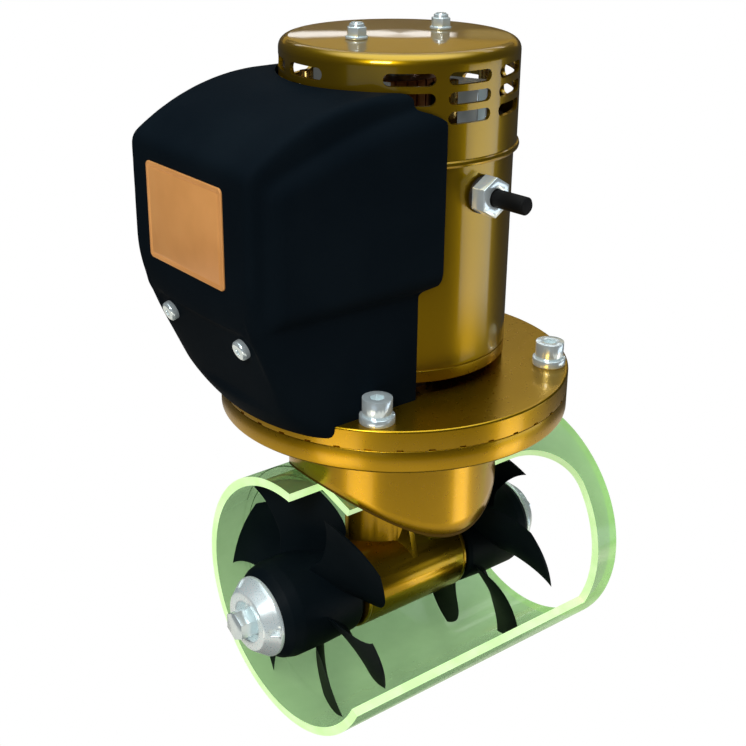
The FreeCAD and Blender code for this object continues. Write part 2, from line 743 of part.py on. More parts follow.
def make_field():
    """Four pole shoes on the tube's wall, each with its coil."""
    inside = "motor_radius - motor_wall - slip_gap"
    face = "core_radius + air_gap"
    poles, coils = [], []
    for index, angle in enumerate(around(POLES, 45)):
        shoe = polar_slab("Shoe%d" % index, face, face + " + 5", 62, "core_low_z", "core_length", angle)
        stem = polar_slab("Stem%d" % index, face + " + 4", inside, 26, "core_low_z", "core_length", angle)
        poles.append(fuse("Pole%d" % index, [shoe, stem]))
        wound = polar_slab("Wound%d" % index, face + " + 5.4", inside, 50, "core_low_z - coil_overhang",
                           "core_length + 2 * coil_overhang", angle)
        hollow = polar_slab("Hollow%d" % index, face + " + 3", "motor_radius", 27.5, "core_low_z - 0.5",
                            "core_length + 1", angle)
        coils.append(cut("Coil%d" % index, wound, [hollow]))
    node("field_poles", group("FieldPoles", poles))
    node("field_coils", group("FieldCoils", coils))


def polar_slab(name, inner, outer, spread, low, length, middle):
    """A curved slab between two radii and two angles."""
    whole = sector(name + "Whole", outer, length, ("0", "0", low), "%g" % (middle - spread / 2.0),
                   "%g" % (middle + spread / 2.0))
    core = rod(name + "Core", inner, length + " + 2", ("0", "0", low + " - 1"))
    return cut(name, whole, [core])


BRUSH_ANGLES = around(POLES, -65)


def make_brush_gear():
    """Insulating ring on posts, with four holders, each with a brush that rides on the commutator."""
    top = "brush_ring_z + 4"
    outside = "cap_radius - cap_wall - 3"
    blank = ring("BrushRingBlank", outside, "commutator_radius + 3", "brush_ring_z", top)
    holes = [rod("BrushRingHole%d" % index, "cap_stud / 2", "6", spot("cap_stud_radius", angle, "brush_ring_z - 1"))
             for index, angle in enumerate((0, 180))]
    node("brush_ring", cut("BrushRing", blank, [group("BrushRingHoles", holes)]))
    posts, holders, brushes = [], [], []
    for index, angle in enumerate(around(POLES, -101)):
        posts.append(rod("BrushPost%d" % index, "3", "24",
                         spot("cap_radius - cap_wall - 6.5", angle, top)))
    for index, angle in enumerate(BRUSH_ANGLES):
        turn = Rotation(Vector(0, 0, 1), angle)
        holder = radial_block("HolderBlank%d" % index, "commutator_radius + 2.5", "20", "brush_width + 3",
                              "brush_height + 3", top, angle)
        hollow = radial_block("HolderHollow%d" % index, "commutator_radius", "30", "brush_width + 0.2",
                              "brush_height + 0.2", top + " + 1.4", angle)
        holders.append(cut("Holder%d" % index, holder, [hollow]))
        brush = radial_block("BrushBlank%d" % index, "commutator_radius - 1", "16", "brush_width",
                             "brush_height", top + " + 1.5", angle)
        drum = rod("BrushDrum%d" % index, "commutator_radius + brush_gap", "60", ("0", "0", "brush_ring_z - 10"))
        brushes.append(cut("Brush%d" % index, brush, [drum]))
    node("brush_posts", group("BrushPosts", posts))
    node("brush_holders", group("BrushHolders", holders))
    node("carbon_brushes", group("CarbonBrushes", brushes))


def radial_block(name, start, length, width, height, low, angle):
    """A block that runs outwards along a radius from the Z axis."""
    box = doc.addObject("Part::Box", name)
    bind(box, Length=length, Width=width, Height=height)
    turn = Rotation(Vector(0, 0, 1), angle)
    box.Placement.Rotation = turn
    cosine = math.cos(math.radians(angle))
    sine = math.sin(math.radians(angle))
    return place(box, ("(%s) * %.9f + (%s) / 2 * %.9f" % (start, cosine, width, sine),
                       "(%s) * %.9f - (%s) / 2 * %.9f" % (start, sine, width, cosine), low))


# ---------------------------------------------------------------- coupling

JAWS_LOW = "coupling_low_z + coupling_hub"
JAWS_HIGH = "coupling_low_z + coupling_hub + coupling_jaw"


def make_coupling():
    """Two three-jawed hubs with a rubber spider between their jaws."""
    lower = ring("CouplingLowerHub", "coupling_radius", "drive_radius", "coupling_low_z", JAWS_LOW)
    upper = ring("CouplingUpperHub", "coupling_radius", "shaft_radius", JAWS_HIGH + " + 1",
                 JAWS_HIGH + " + 1 + coupling_hub")
    for label, hub, low, length, first in (
            ("coupling_lower", lower, JAWS_LOW + " - 0.5", "coupling_jaw + 0.5", 5.0),
            ("coupling_upper", upper, JAWS_LOW + " + 1", "coupling_jaw + 0.5", 65.0)):
        jaws = [polar_slab("%sJaw%d" % (label, index), "8", "coupling_radius", 38, low, length, angle)
                for index, angle in enumerate(around(3, first + 19))]
        node(label, fuse(label + "_body", [hub] + jaws))
    lobes = [polar_slab("SpiderLobe%d" % index, "7", "coupling_radius - 0.5", 21.6, JAWS_LOW + " + 0.2",
                        "coupling_jaw", angle) for index, angle in enumerate(around(6, 54))]
    web = ring("SpiderWeb", "7.8", "shaft_radius", JAWS_LOW + " + 0.2", JAWS_HIGH + " + 0.2")
    node("coupling_spider", fuse("CouplingSpider", lobes + [web]))


# ---------------------------------------------------------------- gear leg


def make_gear_leg():
    """Strut, gussets and gear housing below a saddle flange that bears on the tunnel's inside."""
    seat = "tunnel_radius - tunnel_wall - leg_gasket"
    housing = rod("HousingBarrel", "housing_radius", "housing_length", ("-housing_length / 2", "0", "0"), "X")
    tube = rod("LegTube", "leg_tube_radius", "leg_tube_top_z - 20", ("0", "0", "20"))
    strut = fixed("LegStrut", strut_shape())
    gussets = fixed("LegGussets", gusset_shape())
    saddle = common("LegSaddleDisc", rod("LegSaddleRound", "leg_flange_radius", seat),
                    ring("LegSaddleShell", seat, seat + " - leg_flange", "-2 * leg_flange_radius",
                         "2 * leg_flange_radius", "X"))
    body = fuse("LegBody", [housing, tube, strut, gussets, saddle])
    tools = [
        rod("HousingBore", "housing_bore", "housing_length + 2", ("-housing_length / 2 - 1", "0", "0"), "X"),
        rod("GearChamber", "gear_chamber", "drive_bearing_low_z"),
        rod("LowBearingSeat", "drive_bearing_radius + slip_gap", "drive_bearing_width",
            ("0", "0", "drive_bearing_low_z")),
        rod("LegBore", "drive_bearing_radius - 2", "leg_tube_top_z"),
        rod("HighBearingSeat", "drive_bearing_radius + slip_gap", "leg_tube_top_z",
            ("0", "0", "drive_bearing_high_z")),
    ]
    for index, angle in enumerate(around(4, 45)):
        tools.append(rod("LegThread%d" % index, "leg_bolt / 2", "40", spot(LEG_CIRCLE, angle, "50")))
    return node("gear_leg", cut("LegCut", body, tools))


def strut_shape():
    """The strut's section is a lens of two arcs with blunt ends; it runs from housing to saddle."""
    chord = size("strut_chord") / 2
    width = size("strut_width") / 2
    nose = 1.5
    low = size("housing_radius") / 2
    high = size("tunnel_radius") - size("tunnel_wall") - size("leg_gasket") - size("leg_flange") / 2
    points = [Vector(-chord, -nose, low), Vector(chord, -nose, low), Vector(chord, nose, low),
              Vector(-chord, nose, low)]
    edges = [Part.Arc(points[0], Vector(0, -width, low), points[1]).toShape(),
             Part.LineSegment(points[1], points[2]).toShape(),
             Part.Arc(points[2], Vector(0, width, low), points[3]).toShape(),
             Part.LineSegment(points[3], points[0]).toShape()]
    return Part.Face(Part.Wire(edges)).extrude(Vector(0, 0, high - low))


def gusset_shape():
    """Two gussets across the strut: a diamond section that shrinks from the housing up to the tube."""
    def diamond(half_chord, reach, height):
        flat = 1.5
        corners = [Vector(half_chord, 0, height), Vector(flat, reach, height), Vector(-flat, reach, height),
                   Vector(-half_chord, 0, height), Vector(-flat, -reach, height), Vector(flat, -reach, height)]
        return Part.makePolygon(corners + corners[:1])
    low = diamond(size("gusset_chord") / 2, size("gusset_reach"), size("housing_radius") / 3)
    high = diamond(size("gusset_chord") / 4, size("strut_width") / 2, size("gusset_top_z"))
    return Part.makeLoft([low, high], True, True)


def make_leg_gasket():
    """Gasket between the leg's saddle flange and the tunnel's inside."""
    seat = "tunnel_radius - tunnel_wall"
    shell = ring("LegGasketShell", seat, seat + " - leg_gasket", "-2 * leg_flange_radius",
                 "2 * leg_flange_radius", "X")
    blank = common("LegGasketBlank", rod("LegGasketRound", "leg_flange_radius", seat), shell)
    tools = [rod("LegGasketTubeHole", "leg_tube_radius + slip_gap", "tunnel_radius")]
    for index, angle in enumerate(around(4, 45)):
        tools.append(rod("LegGasketBoltHole%d" % index, "leg_bolt / 2 + 0.5", "tunnel_radius",
                         spot(LEG_CIRCLE, angle)))
    return node("leg_gasket", cut("LegGasket", blank, tools))


def make_leg_bolts():
    """Four cap screws pull the leg up against the tunnel and the bracket."""
    bolts = [cap_screw("LegBolt%d" % index, "leg_bolt", "neck_floor_z", "neck_floor_z - 52", angle,
                       LEG_CIRCLE) for index, angle in enumerate(around(4, 45))]
    node("leg_bolts", group("LegBolts", bolts))


def make_drive_line():
    """Vertical shaft with its bearings and seal."""
    node("drive_shaft", rod("DriveShaft", "drive_radius", "coupling_low_z + coupling_hub - 12",
                            ("0", "0", "12")))
    low = bearing("LegLowBearing", "drive_radius", "drive_bearing_radius", "drive_bearing_low_z",
                  "drive_bearing_width")
    high = bearing("LegHighBearing", "drive_radius", "drive_bearing_radius", "drive_bearing_high_z",
                   "drive_bearing_width")
    node("leg_bearings", group("LegBearings", [low[0], high[0]]))
    node("leg_inner_races", group("LegInnerRaces", [low[1], high[1]]))
    node("leg_seal", ring("LegSeal", "drive_bearing_radius", "drive_radius + running_gap",
                          "drive_bearing_high_z + drive_bearing_width",
                          "drive_bearing_high_z + drive_bearing_width + 5"))


# ---------------------------------------------------------------- bevel pair


def bevel_wheel(teeth, pitch, mate_pitch, hub_radius, bore, hub_length):
    """A straight bevel wheel about +Z: its teeth point to the apex at the origin.

    Every tooth is a loft between two like sections, one at the large end and one at the
    small end, both on lines through the apex, so the pair rolls on one pitch cone.
    """
    cone = math.hypot(pitch, mate_pitch)
    small = (cone - size("tooth_face")) / cone
    addendum = size("tooth_module") * 0.8
    dedendum = size("tooth_module") * 1.0
    along = Vector(pitch, 0, mate_pitch).multiply(1 / cone)
    outward = Vector(mate_pitch, 0, -pitch).multiply(1 / cone)

    def ridge(height, share):
        """A point of the tooth's section, by its height over the pitch cone and its share of a step."""
        return along * cone + outward * height + Vector(0, 2 * math.pi / teeth * pitch * share, 0)

    flank = [(-dedendum * 1.25, 0.34), (0.0, 0.225), (addendum, 0.11)]
    outline = [ridge(height, -share) for height, share in flank]
    outline += [ridge(height, share) for height, share in reversed(flank)]
    large_wire = Part.makePolygon(outline + outline[:1])
    small_wire = Part.makePolygon([point * small for point in outline + outline[:1]])
    tooth = Part.makeLoft([large_wire, small_wire], True, True)
    root_large = along * cone - outward * dedendum
    root_small = root_large * small
    back_z = root_large.z + hub_length
    section = [Vector(bore, 0, root_small.z), root_small, root_large,
               Vector(root_large.x, 0, root_large.z + 1.5), Vector(hub_radius, 0, root_large.z + 3),
               Vector(hub_radius, 0, back_z), Vector(bore, 0, back_z)]
    blank = Part.Face(Part.makePolygon(section + section[:1])).revolve(Vector(), Vector(0, 0, 1), 360)
    copies = []
    for angle in around(teeth):
        copy = tooth.copy()
        copy.rotate(Vector(), Vector(0, 0, 1), angle)
        copies.append(copy)
    return blank.multiFuse(copies).removeSplitter()


def make_bevel_pair():
    """The pinion hangs on the drive shaft; the gear on the propeller shaft turns slower than it."""
    pinion = bevel_wheel(PINION_TEETH, size("pinion_pitch"), size("gear_pitch"), 8.0,
                         size("drive_radius"), 8.0)
    node("bevel_pinion", fixed("BevelPinion", pinion))
    gear = bevel_wheel(GEAR_TEETH, size("gear_pitch"), size("pinion_pitch"), 10.5,
                       size("prop_shaft_radius"), 9.0)
    gear.rotate(Vector(), Vector(0, 0, 1), 180.0 / GEAR_TEETH)
    gear.rotate(Vector(), Vector(0, 1, 0), 90)
    node("bevel_gear", fixed("BevelGear", gear))


# ---------------------------------------------------------------- propeller shaft and propellers

HALF_TURN = Rotation(Vector(0, 0, 1), 180)


def make_propeller_shaft():
    """One shaft through the housing, stepped down to a thread at both ends."""
    end = "prop_shaft_end"
    step = "hub_outer_x + 1"
    blank = turned("PropellerShaftBlank", "X", [
        ("-(%s)" % end, "0"), (end, "0"), (end, "prop_thread_radius - 0.8"),
        (end + " - 1", "prop_thread_radius"), (step, "prop_thread_radius"), (step, "prop_shaft_radius"),
        ("-(%s)" % step, "prop_shaft_radius"), ("-(%s)" % step, "prop_thread_radius"),
        ("-(%s) + 1" % end, "prop_thread_radius"), ("-(%s)" % end, "prop_thread_radius - 0.8")])
    holes = [rod("ShaftPinHole%d" % index, "drive_pin + slip_gap", "4 * prop_shaft_radius",
                 ("%d * (hub_inner_x + 4)" % side, "-2 * prop_shaft_radius", "0"), "Y")
             for index, side in enumerate((-1, 1))]
    return node("propeller_shaft", cut("PropellerShaft", blank, holes))


def make_shaft_ends():
    """Bearing caps, bearings and seals at both ends of the gear housing."""
    face = "housing_length / 2"
    bearing_end = "prop_bearing_x + prop_bearing_width"
    cap = turned("EndCapFar", "X", [
        ("prop_bearing_x", "prop_bearing_radius + slip_gap"),
        ("prop_bearing_x", "housing_bore - slip_gap"), (face, "housing_bore - slip_gap"),
        (face, "housing_radius"), (face + " + end_cap_lip - 1", "housing_radius"),
        (face + " + end_cap_lip", "housing_radius - 1"),
        (face + " + end_cap_lip", "prop_shaft_radius + 5"), (bearing_end, "prop_shaft_radius + 5"),
        (bearing_end, "prop_bearing_radius + slip_gap")])
    node("bearing_cap_far", cap)
    node("bearing_cap_near", turned_copy("EndCapNear", cap, HALF_TURN))
    outer, inner = bearing("ShaftBearing", "prop_shaft_radius", "prop_bearing_radius", "prop_bearing_x",
                           "prop_bearing_width", "X")
    node("shaft_bearings", group("ShaftBearings", [outer, turned_copy("ShaftBearingNear", outer, HALF_TURN)]))
    node("shaft_inner_races", group("ShaftInnerRaces", [inner, turned_copy("ShaftRaceNear", inner, HALF_TURN)]))
    seal = ring("ShaftSeal", "prop_shaft_radius + 5 - slip_gap", "prop_shaft_radius + running_gap",
                bearing_end, face + " + end_cap_lip - 0.4", "X")
    node("shaft_seals", group("ShaftSeals", [seal, turned_copy("ShaftSealNear", seal, HALF_TURN)]))


# The blade's outline on its pitch surface: at each radius, as a share of the way from root to
# tip, the angles of its trailing and leading edges from the trailing tip corner.
BLADE_OUTLINE = [
    (-0.12, -0.5, 52.0),
    (0.04, 1.5, 55.0),
    (0.22, 5.8, 56.5),
    (0.48, 5.9, 55.5),
    (0.70, 4.4, 48.5),
    (0.88, 2.2, 39.5),
    (1.00, 0.0, 33.5),
]


def blade_shape():
    """One swept blade of constant pitch: two curved faces and the four narrow edges between them."""
    root = size("hub_radius")
    tip = size("blade_tip_radius")
    backs, faces = [], []
    for share, trailing, leading in BLADE_OUTLINE:
        radius = root + share * (tip - root)
        fall = min(max(share, 0.0), 1.0)
        thick = size("blade_root_thickness") + fall * (size("blade_tip_thickness") - size("blade_root_thickness"))
        backs.append(blade_line(radius, trailing, leading, thick))
        faces.append(blade_line(radius, trailing, leading, -thick))
    sheets = []
    for lines in (backs, faces):
        sheet_of = Part.BSplineSurface()
        sheet_of.interpolate(lines)
        sheets.append(sheet_of)
    back, face = sheets
    walls = [back.toShape(), face.toShape()]
    for side in (0.0, 1.0):
        walls.append(Part.makeRuledSurface(back.uIso(side).toShape(), face.uIso(side).toShape()))
        walls.append(Part.makeRuledSurface(back.vIso(side).toShape(), face.vIso(side).toShape()))
    shell = Part.Shell(Part.Compound(walls).Faces)
    shell.sewShape()
    blade = Part.Solid(shell)
    if blade.Volume < 0:
        blade.reverse()
    return blade


def blade_line(radius, trailing, leading, thick):
    """Points along one side of a blade's section, bent round the cylinder of this radius."""
    per_degree = size("blade_pitch") / 360.0
    slope = math.atan2(math.degrees(per_degree), radius)
    line = []
    for along in (0.0, 0.25, 0.5, 0.75, 1.0):
        angle = trailing + along * (leading - trailing)
        half = thick * (0.10 + 0.40 * math.sin(math.pi * along))
        axial = size("blade_tip_x") - angle * per_degree + half * math.cos(slope)
        turn = math.radians(size("blade_skew") - angle) - half * math.sin(slope) / radius
        line.append(Vector(axial, radius * math.cos(turn), radius * math.sin(turn)))
    return line


def make_propellers():
    """Two like propellers: a barrel hub with six swept blades, cut to the tip circle."""
    hub = turned("HubFar", "X", [
        ("hub_inner_x", "prop_shaft_radius"), ("hub_inner_x", "hub_radius - 2"),
        ("hub_inner_x + 2", "hub_radius - 0.8"), ("blade_tip_x - 6", "hub_radius"),
        ("hub_outer_x - 9", "hub_radius"), ("hub_outer_x - 4", "hub_radius - 1.6"),
        ("hub_outer_x", "hub_end_radius"), ("hub_outer_x", "prop_shaft_radius")])
    slot = block("HubPinSlot", "5 + drive_pin + slip_gap", "2 * hub_radius - 12", "2 * (drive_pin + slip_gap)",
                 ("hub_inner_x - 1", "-hub_radius + 6", "-drive_pin - slip_gap"))
    doc.recompute()
    blade = blade_shape()
    blades = []
    for angle in around(BLADES):
        copy = blade.copy()
        copy.rotate(Vector(), Vector(1, 0, 0), angle)
        blades.append(copy)
    shank = cut("HubBored", hub, [slot])
    far = fuse("PropellerFarBody", [shank] + [fixed("Blade%d" % index, shape)
                                              for index, shape in enumerate(blades)])
    node("propeller_far", far)
    near = group("PropellerNearBody", [far])
    near.Placement = Placement(Vector(), HALF_TURN)
    node("propeller_near", near)
    pin = rod("DrivePinFar", "drive_pin", "2 * hub_radius - 14", ("hub_inner_x + 4", "-hub_radius + 7", "0"), "Y")
    node("drive_pins", group("DrivePins", [pin, turned_copy("DrivePinNear", pin, HALF_TURN)]))


def make_anodes():
    """Sacrificial zinc cones on the hubs, slotted, with a recess for the nut."""
    back = "hub_outer_x"
    front = "hub_outer_x + anode_length"
    cone = turned("AnodeBlank", "X", [
        (back, "prop_thread_radius + 3"), (back, "hub_end_radius"), (back + " + 2", "hub_end_radius"),
        (front + " - 1", "anode_end_radius + 0.8"), (front, "anode_end_radius"),
        (front, "anode_recess"), (front + " - 5", "anode_recess - 1.5"),
        (front + " - 5", "prop_thread_radius + 3")])
    notches = []
    for index, angle in enumerate((35, 155, 275)):
        notch = block("AnodeNotch%d" % index, "anode_length + 2", "3.2", "6", HERE)
        turn = Rotation(Vector(1, 0, 0), angle)
        notch.Placement.Rotation = turn
        radius = "(anode_end_radius + 1.6)"
        cosine, sine = math.cos(math.radians(angle)), math.sin(math.radians(angle))
        place(notch, (back + " + 2.5", "-1.6 * %.9f - %s * %.9f" % (cosine, radius, sine),
                      "-1.6 * %.9f + %s * %.9f" % (sine, radius, cosine)))
        notches.append(notch)
    anode = cut("AnodeFar", cone, [group("AnodeNotches", notches)])
    node("anode_far", anode)
    node("anode_near", turned_copy("AnodeNear", anode, HALF_TURN))
    face = "hub_outer_x + 1"
    washer = ring("PropWasher", "prop_thread_radius + 2.9", "prop_thread_radius", face, face + " + 2.9", "X")
    hexed = hexagon("PropNutHex", "13", "prop_shaft_end - hub_outer_x - 1.8", (face + " + 2.9", "0", "0"),
                    ALONG["X"])
    thread = rod("PropNutBore", "prop_thread_radius", "prop_shaft_end - hub_outer_x - 1.8",
                 (face + " + 1", "0", "0"), "X")
    nut = cut("PropNut", hexed, [thread])
    node("propeller_nuts", group("PropellerNuts", [
        nut, washer, turned_copy("PropNutNear", nut, HALF_TURN), turned_copy("PropWasherNear", washer, HALF_TURN)]))


# ---------------------------------------------------------------- control cover and what is behind it

COVER_SOFT = 7.0


def cover_wire(inset, low):
    """The cover's side view as a closed wire, set in by a wall: foot, chin, front, arch, back."""
    front, back = inset - size("cover_front_x"), 35.8 - size("motor_radius")
    radius = size("cover_arch") - inset
    middle = Vector(size("cover_arch_reach") - size("cover_front_x"), 0, size("cover_top_z") - size("cover_arch"))
    reach = middle.x - front
    corners = [Vector(back, 0, low), Vector(0.8 * inset - size("flange_radius") - 2, 0, low),
               Vector(inset - size("cover_foot_x"), 0, size("cover_foot_z")),
               Vector(front, 0, size("cover_chin_z") + 0.16 * inset),
               Vector(front, 0, middle.z + math.sqrt(radius ** 2 - reach ** 2))]
    half = math.asin(reach / radius) / 2
    halfway = middle + Vector(-radius * math.sin(half), 0, radius * math.cos(half))
    peak, end = middle + Vector(0, 0, radius), Vector(back, 0, middle.z + radius)
    edges = [Part.LineSegment(a, b).toShape() for a, b in zip(corners, corners[1:])]
    edges.append(Part.Arc(corners[-1], halfway, peak).toShape())
    edges += [Part.LineSegment(peak, end).toShape(), Part.LineSegment(end, corners[0]).toShape()]
    return Part.Wire(edges)


def cover_form(inset, rings, low):
    """A solid of the cover's outside or inside: the side view, limited by cones, soft at its edges."""
    half = size("cover_half_width") - inset
    back = 35.8 - size("motor_radius")
    face = Part.Face(cover_wire(inset, low))
    face.translate(Vector(0, -half, 0))
    section = [Vector(radius, 0, height) for radius, height in rings]
    limit = Part.Face(Part.makePolygon(section + section[:1])).revolve(Vector(0, 0, 0), Vector(0, 0, 1), 360)
    form = face.extrude(Vector(0, 2 * half, 0)).common(limit).Solids[0]

    def soft(edge):
        box = edge.BoundBox
        side = box.YLength < 0.01 and abs(abs(box.YMax) - half) < 0.01
        brow = box.YLength > half and box.ZLength < 6 and box.XMax < 9 - size("cover_front_x")
        return box.XMin < back - 0.5 and box.ZMin > size("cover_foot_z") - 0.5 and (
            side or brow and box.ZMin > size("cover_foot_z") + 20)

    return form.makeFillet(COVER_SOFT - inset, [edge for edge in form.Edges if soft(edge)])


def make_cover():
    """Moulded cover: slanted chin with a recess, arched top, raised side pads, skirt on the flange."""
    skirt = size("flange_joint_z") + size("foot_flange") - size("cover_skirt")
    flange, foot, front = size("flange_radius"), size("cover_foot_x"), size("cover_front_x")
    foot_z, chin_z, top, wall = size("cover_foot_z"), size("cover_chin_z"), size("cover_top_z") + 5, size("cover_wall")
    plate_top = size("flange_joint_z") + size("foot_flange")
    outside = fixed("CoverOutside", cover_form(0, [
        (0, skirt), (flange + 2, skirt), (foot + 1, foot_z), (front + 12, chin_z + 4), (front + 12, top),
        (0, top)], skirt))
    pads = [fixed("CoverPad%d" % index, pad_shape(side)) for index, side in enumerate((-1, 1))]
    shell = fuse("CoverWhole", [outside] + pads)
    hollow = fixed("CoverHollow", cover_form(wall, [
        (0, skirt - 1), (flange + 0.5, skirt - 1), (flange + 0.5, plate_top + 0.3),
        (foot + 1 - wall, foot_z + 2), (front + 12 - wall, chin_z + 6), (front + 12 - wall, top),
        (0, top)], skirt - 1))
    tools = [
        hollow,
        rod("CoverFlangeRoom", "flange_radius + 0.4", "30", ("0", "0", FOOT_TOP + " - 29.9")),
        rod("CoverMotorRoom", "motor_radius + 0.3", "motor_top_z", ("0", "0", "50")),
        rod("CoverCapRoom", "cap_radius + cap_bead / 2 + 0.3", "60", ("0", "0", "motor_top_z - 1")),
        fixed("CoverChinRecess", chin_recess()),
    ]
    for index, angle in enumerate(FLANGE_ANGLES[1:3]):
        tools.append(rod("CoverScrewRoom%d" % index, "flange_bolt + 0.3", "2.2 * flange_bolt",
                         spot(FLANGE_CIRCLE, angle, FOOT_TOP + " - 1")))
    floor = fixed("CoverChinFloor", chin_floor())
    body = cut("CoverShellRaw", shell, tools)
    holes = [fixed("CoverScrewHole%d" % index, chin_rod(side, 2.8, -12, 12))
             for index, side in enumerate((-1, 1))]
    return node("cover", cut("CoverShell", fuse("CoverWithFloor", [body, floor]), holes))


def pad_shape(side):
    """Raised pad on the cover's side with sloping edges, a little prouder towards the motor."""
    half = size("cover_half_width")
    front, back = 9.2 - size("cover_front_x"), 35.8 - size("motor_radius")
    low, top = size("cover_chin_z") + 1, size("cover_top_z") - 9.2

    def frame(front_out, back_out, inset):
        corners = [(front + inset, low + 3.5 + inset), (back, low + inset), (back, top - 7 - inset),
                   (back - 8, top - inset), (back - 48, top - 8.7 - inset), (back - 68, top - 15.6 - inset),
                   (front + inset, top - 22.7 - inset)]
        span = back - front
        points = [Vector(x, side * (half + front_out + (back_out - front_out) * (x - front) / span), z)
                  for x, z in corners]
        return Part.makePolygon(points + points[:1])

    pad = Part.makeLoft([frame(-1, -1, -2.6), frame(size("cover_pad") - 1.2, size("cover_pad") + 1.8, 1.2)],
                        True, True)
    outer = [edge for edge in pad.Edges if abs(edge.CenterOfMass.y) > half + size("cover_pad") - 1.5
             and edge.BoundBox.XMin < back - 0.5]
    return pad.makeFillet(3.0, outer)


def chin_frame():
    """The slanted chin: its lowest point, the direction up it and its outward normal."""
    foot = Vector(-size("cover_foot_x"), 0, size("cover_foot_z"))
    chin = Vector(-size("cover_front_x"), 0, size("cover_chin_z"))
    up = (chin - foot).normalize()
    return foot, up, Vector(0, -1, 0).cross(up)


def chin_panel(half_width, low, high, deep, proud):
    """A slab in the chin with two round upper corners, between two depths from its face."""
    foot, up, out = chin_frame()
    corner = 9.0
    corners = [(-half_width, low), (half_width, low), (half_width, high - corner), (half_width - corner, high),
               (-half_width + corner, high), (-half_width, high - corner)]
    bulge = corner * (1 - math.sqrt(0.5))
    points = [foot + up * rise + Vector(0, across, 0) - out * deep for across, rise in corners]
    mids = [foot + up * (high - bulge) + Vector(0, sign * (half_width - bulge), 0) - out * deep
            for sign in (1, -1)]
    edges = [Part.LineSegment(points[0], points[1]).toShape(), Part.LineSegment(points[1], points[2]).toShape(),
             Part.Arc(points[2], mids[0], points[3]).toShape(), Part.LineSegment(points[3], points[4]).toShape(),
             Part.Arc(points[4], mids[1], points[5]).toShape(), Part.LineSegment(points[5], points[0]).toShape()]
    return Part.Face(Part.Wire(edges)).extrude(out * (deep + proud))


RECESS_DEPTH = 4.0


def chin_recess():
    return chin_panel(39.0, 5.0, 46.0, RECESS_DEPTH, 8.0)


def chin_floor():
    """The recess's floor and rim wall, kept when the cover is hollowed."""
    wall = size("cover_wall")
    outer = chin_panel(39.0 + wall, 5.0 - wall, 46.0 + wall, RECESS_DEPTH + wall, -0.5)
    return outer.cut(chin_panel(39.0, 5.0, 46.0, RECESS_DEPTH, 8.0))


def chin_point(side, depth):
    """Where a cover screw's axis lies at a depth below the chin's face."""
    foot, up, out = chin_frame()
    rise = (size("cover_screw_z") - size("cover_foot_z")) / up.z
    return foot + up * rise + Vector(0, side * size("cover_screw_spread"), 0) - out * depth


def chin_rod(side, radius, start, end):
    """A round bar square to the chin between two depths below its face."""
    out = chin_frame()[2]
    return Part.makeCylinder(radius, end - start, chin_point(side, start), out * -1)


def make_cover_fixings():
    """Two pan-head screws into pillars on the relay carrier; the label plate is bare."""
    wall = size("cover_wall")
    floor = RECESS_DEPTH
    screws, pillars = [], []
    plane_x = -size("motor_radius") - size("slip_gap") - size("carrier_thickness")
    keep = Part.makeBox(200, 200, 200, Vector(plane_x - 200, -100, 100))
    for side in (-1, 1):
        head = chin_rod(side, 4.6, floor - 3.2, floor)
        head = head.makeFillet(1.4, [edge for edge in head.Edges if len(edge.Vertexes) == 1
                                     and edge.CenterOfMass.x < head.CenterOfMass.x])
        shank = chin_rod(side, 2.4, floor, floor + 13)
        cross = chin_rod(side, 1.5, floor - 3.4, floor - 1.6)
        screws.append(head.fuse(shank).cut(cross))
        pillar = chin_rod(side, 5.0, floor + wall + 0.05, 75).common(keep)
        pillars.append(pillar.cut(chin_rod(side, 2.5, 0, floor + 15)))
    node("cover_screws", fixed("CoverScrews", Part.makeCompound(screws)))
    node("cover_pillars", fixed("CoverPillars", Part.makeCompound(pillars)))
    label = block("LabelPlate", "label_thickness", "label_width", "label_height",
                  ("-cover_front_x - label_thickness", "-label_width / 2 + 1.5", "label_z - label_height / 2"))
    node("label_plate", label)


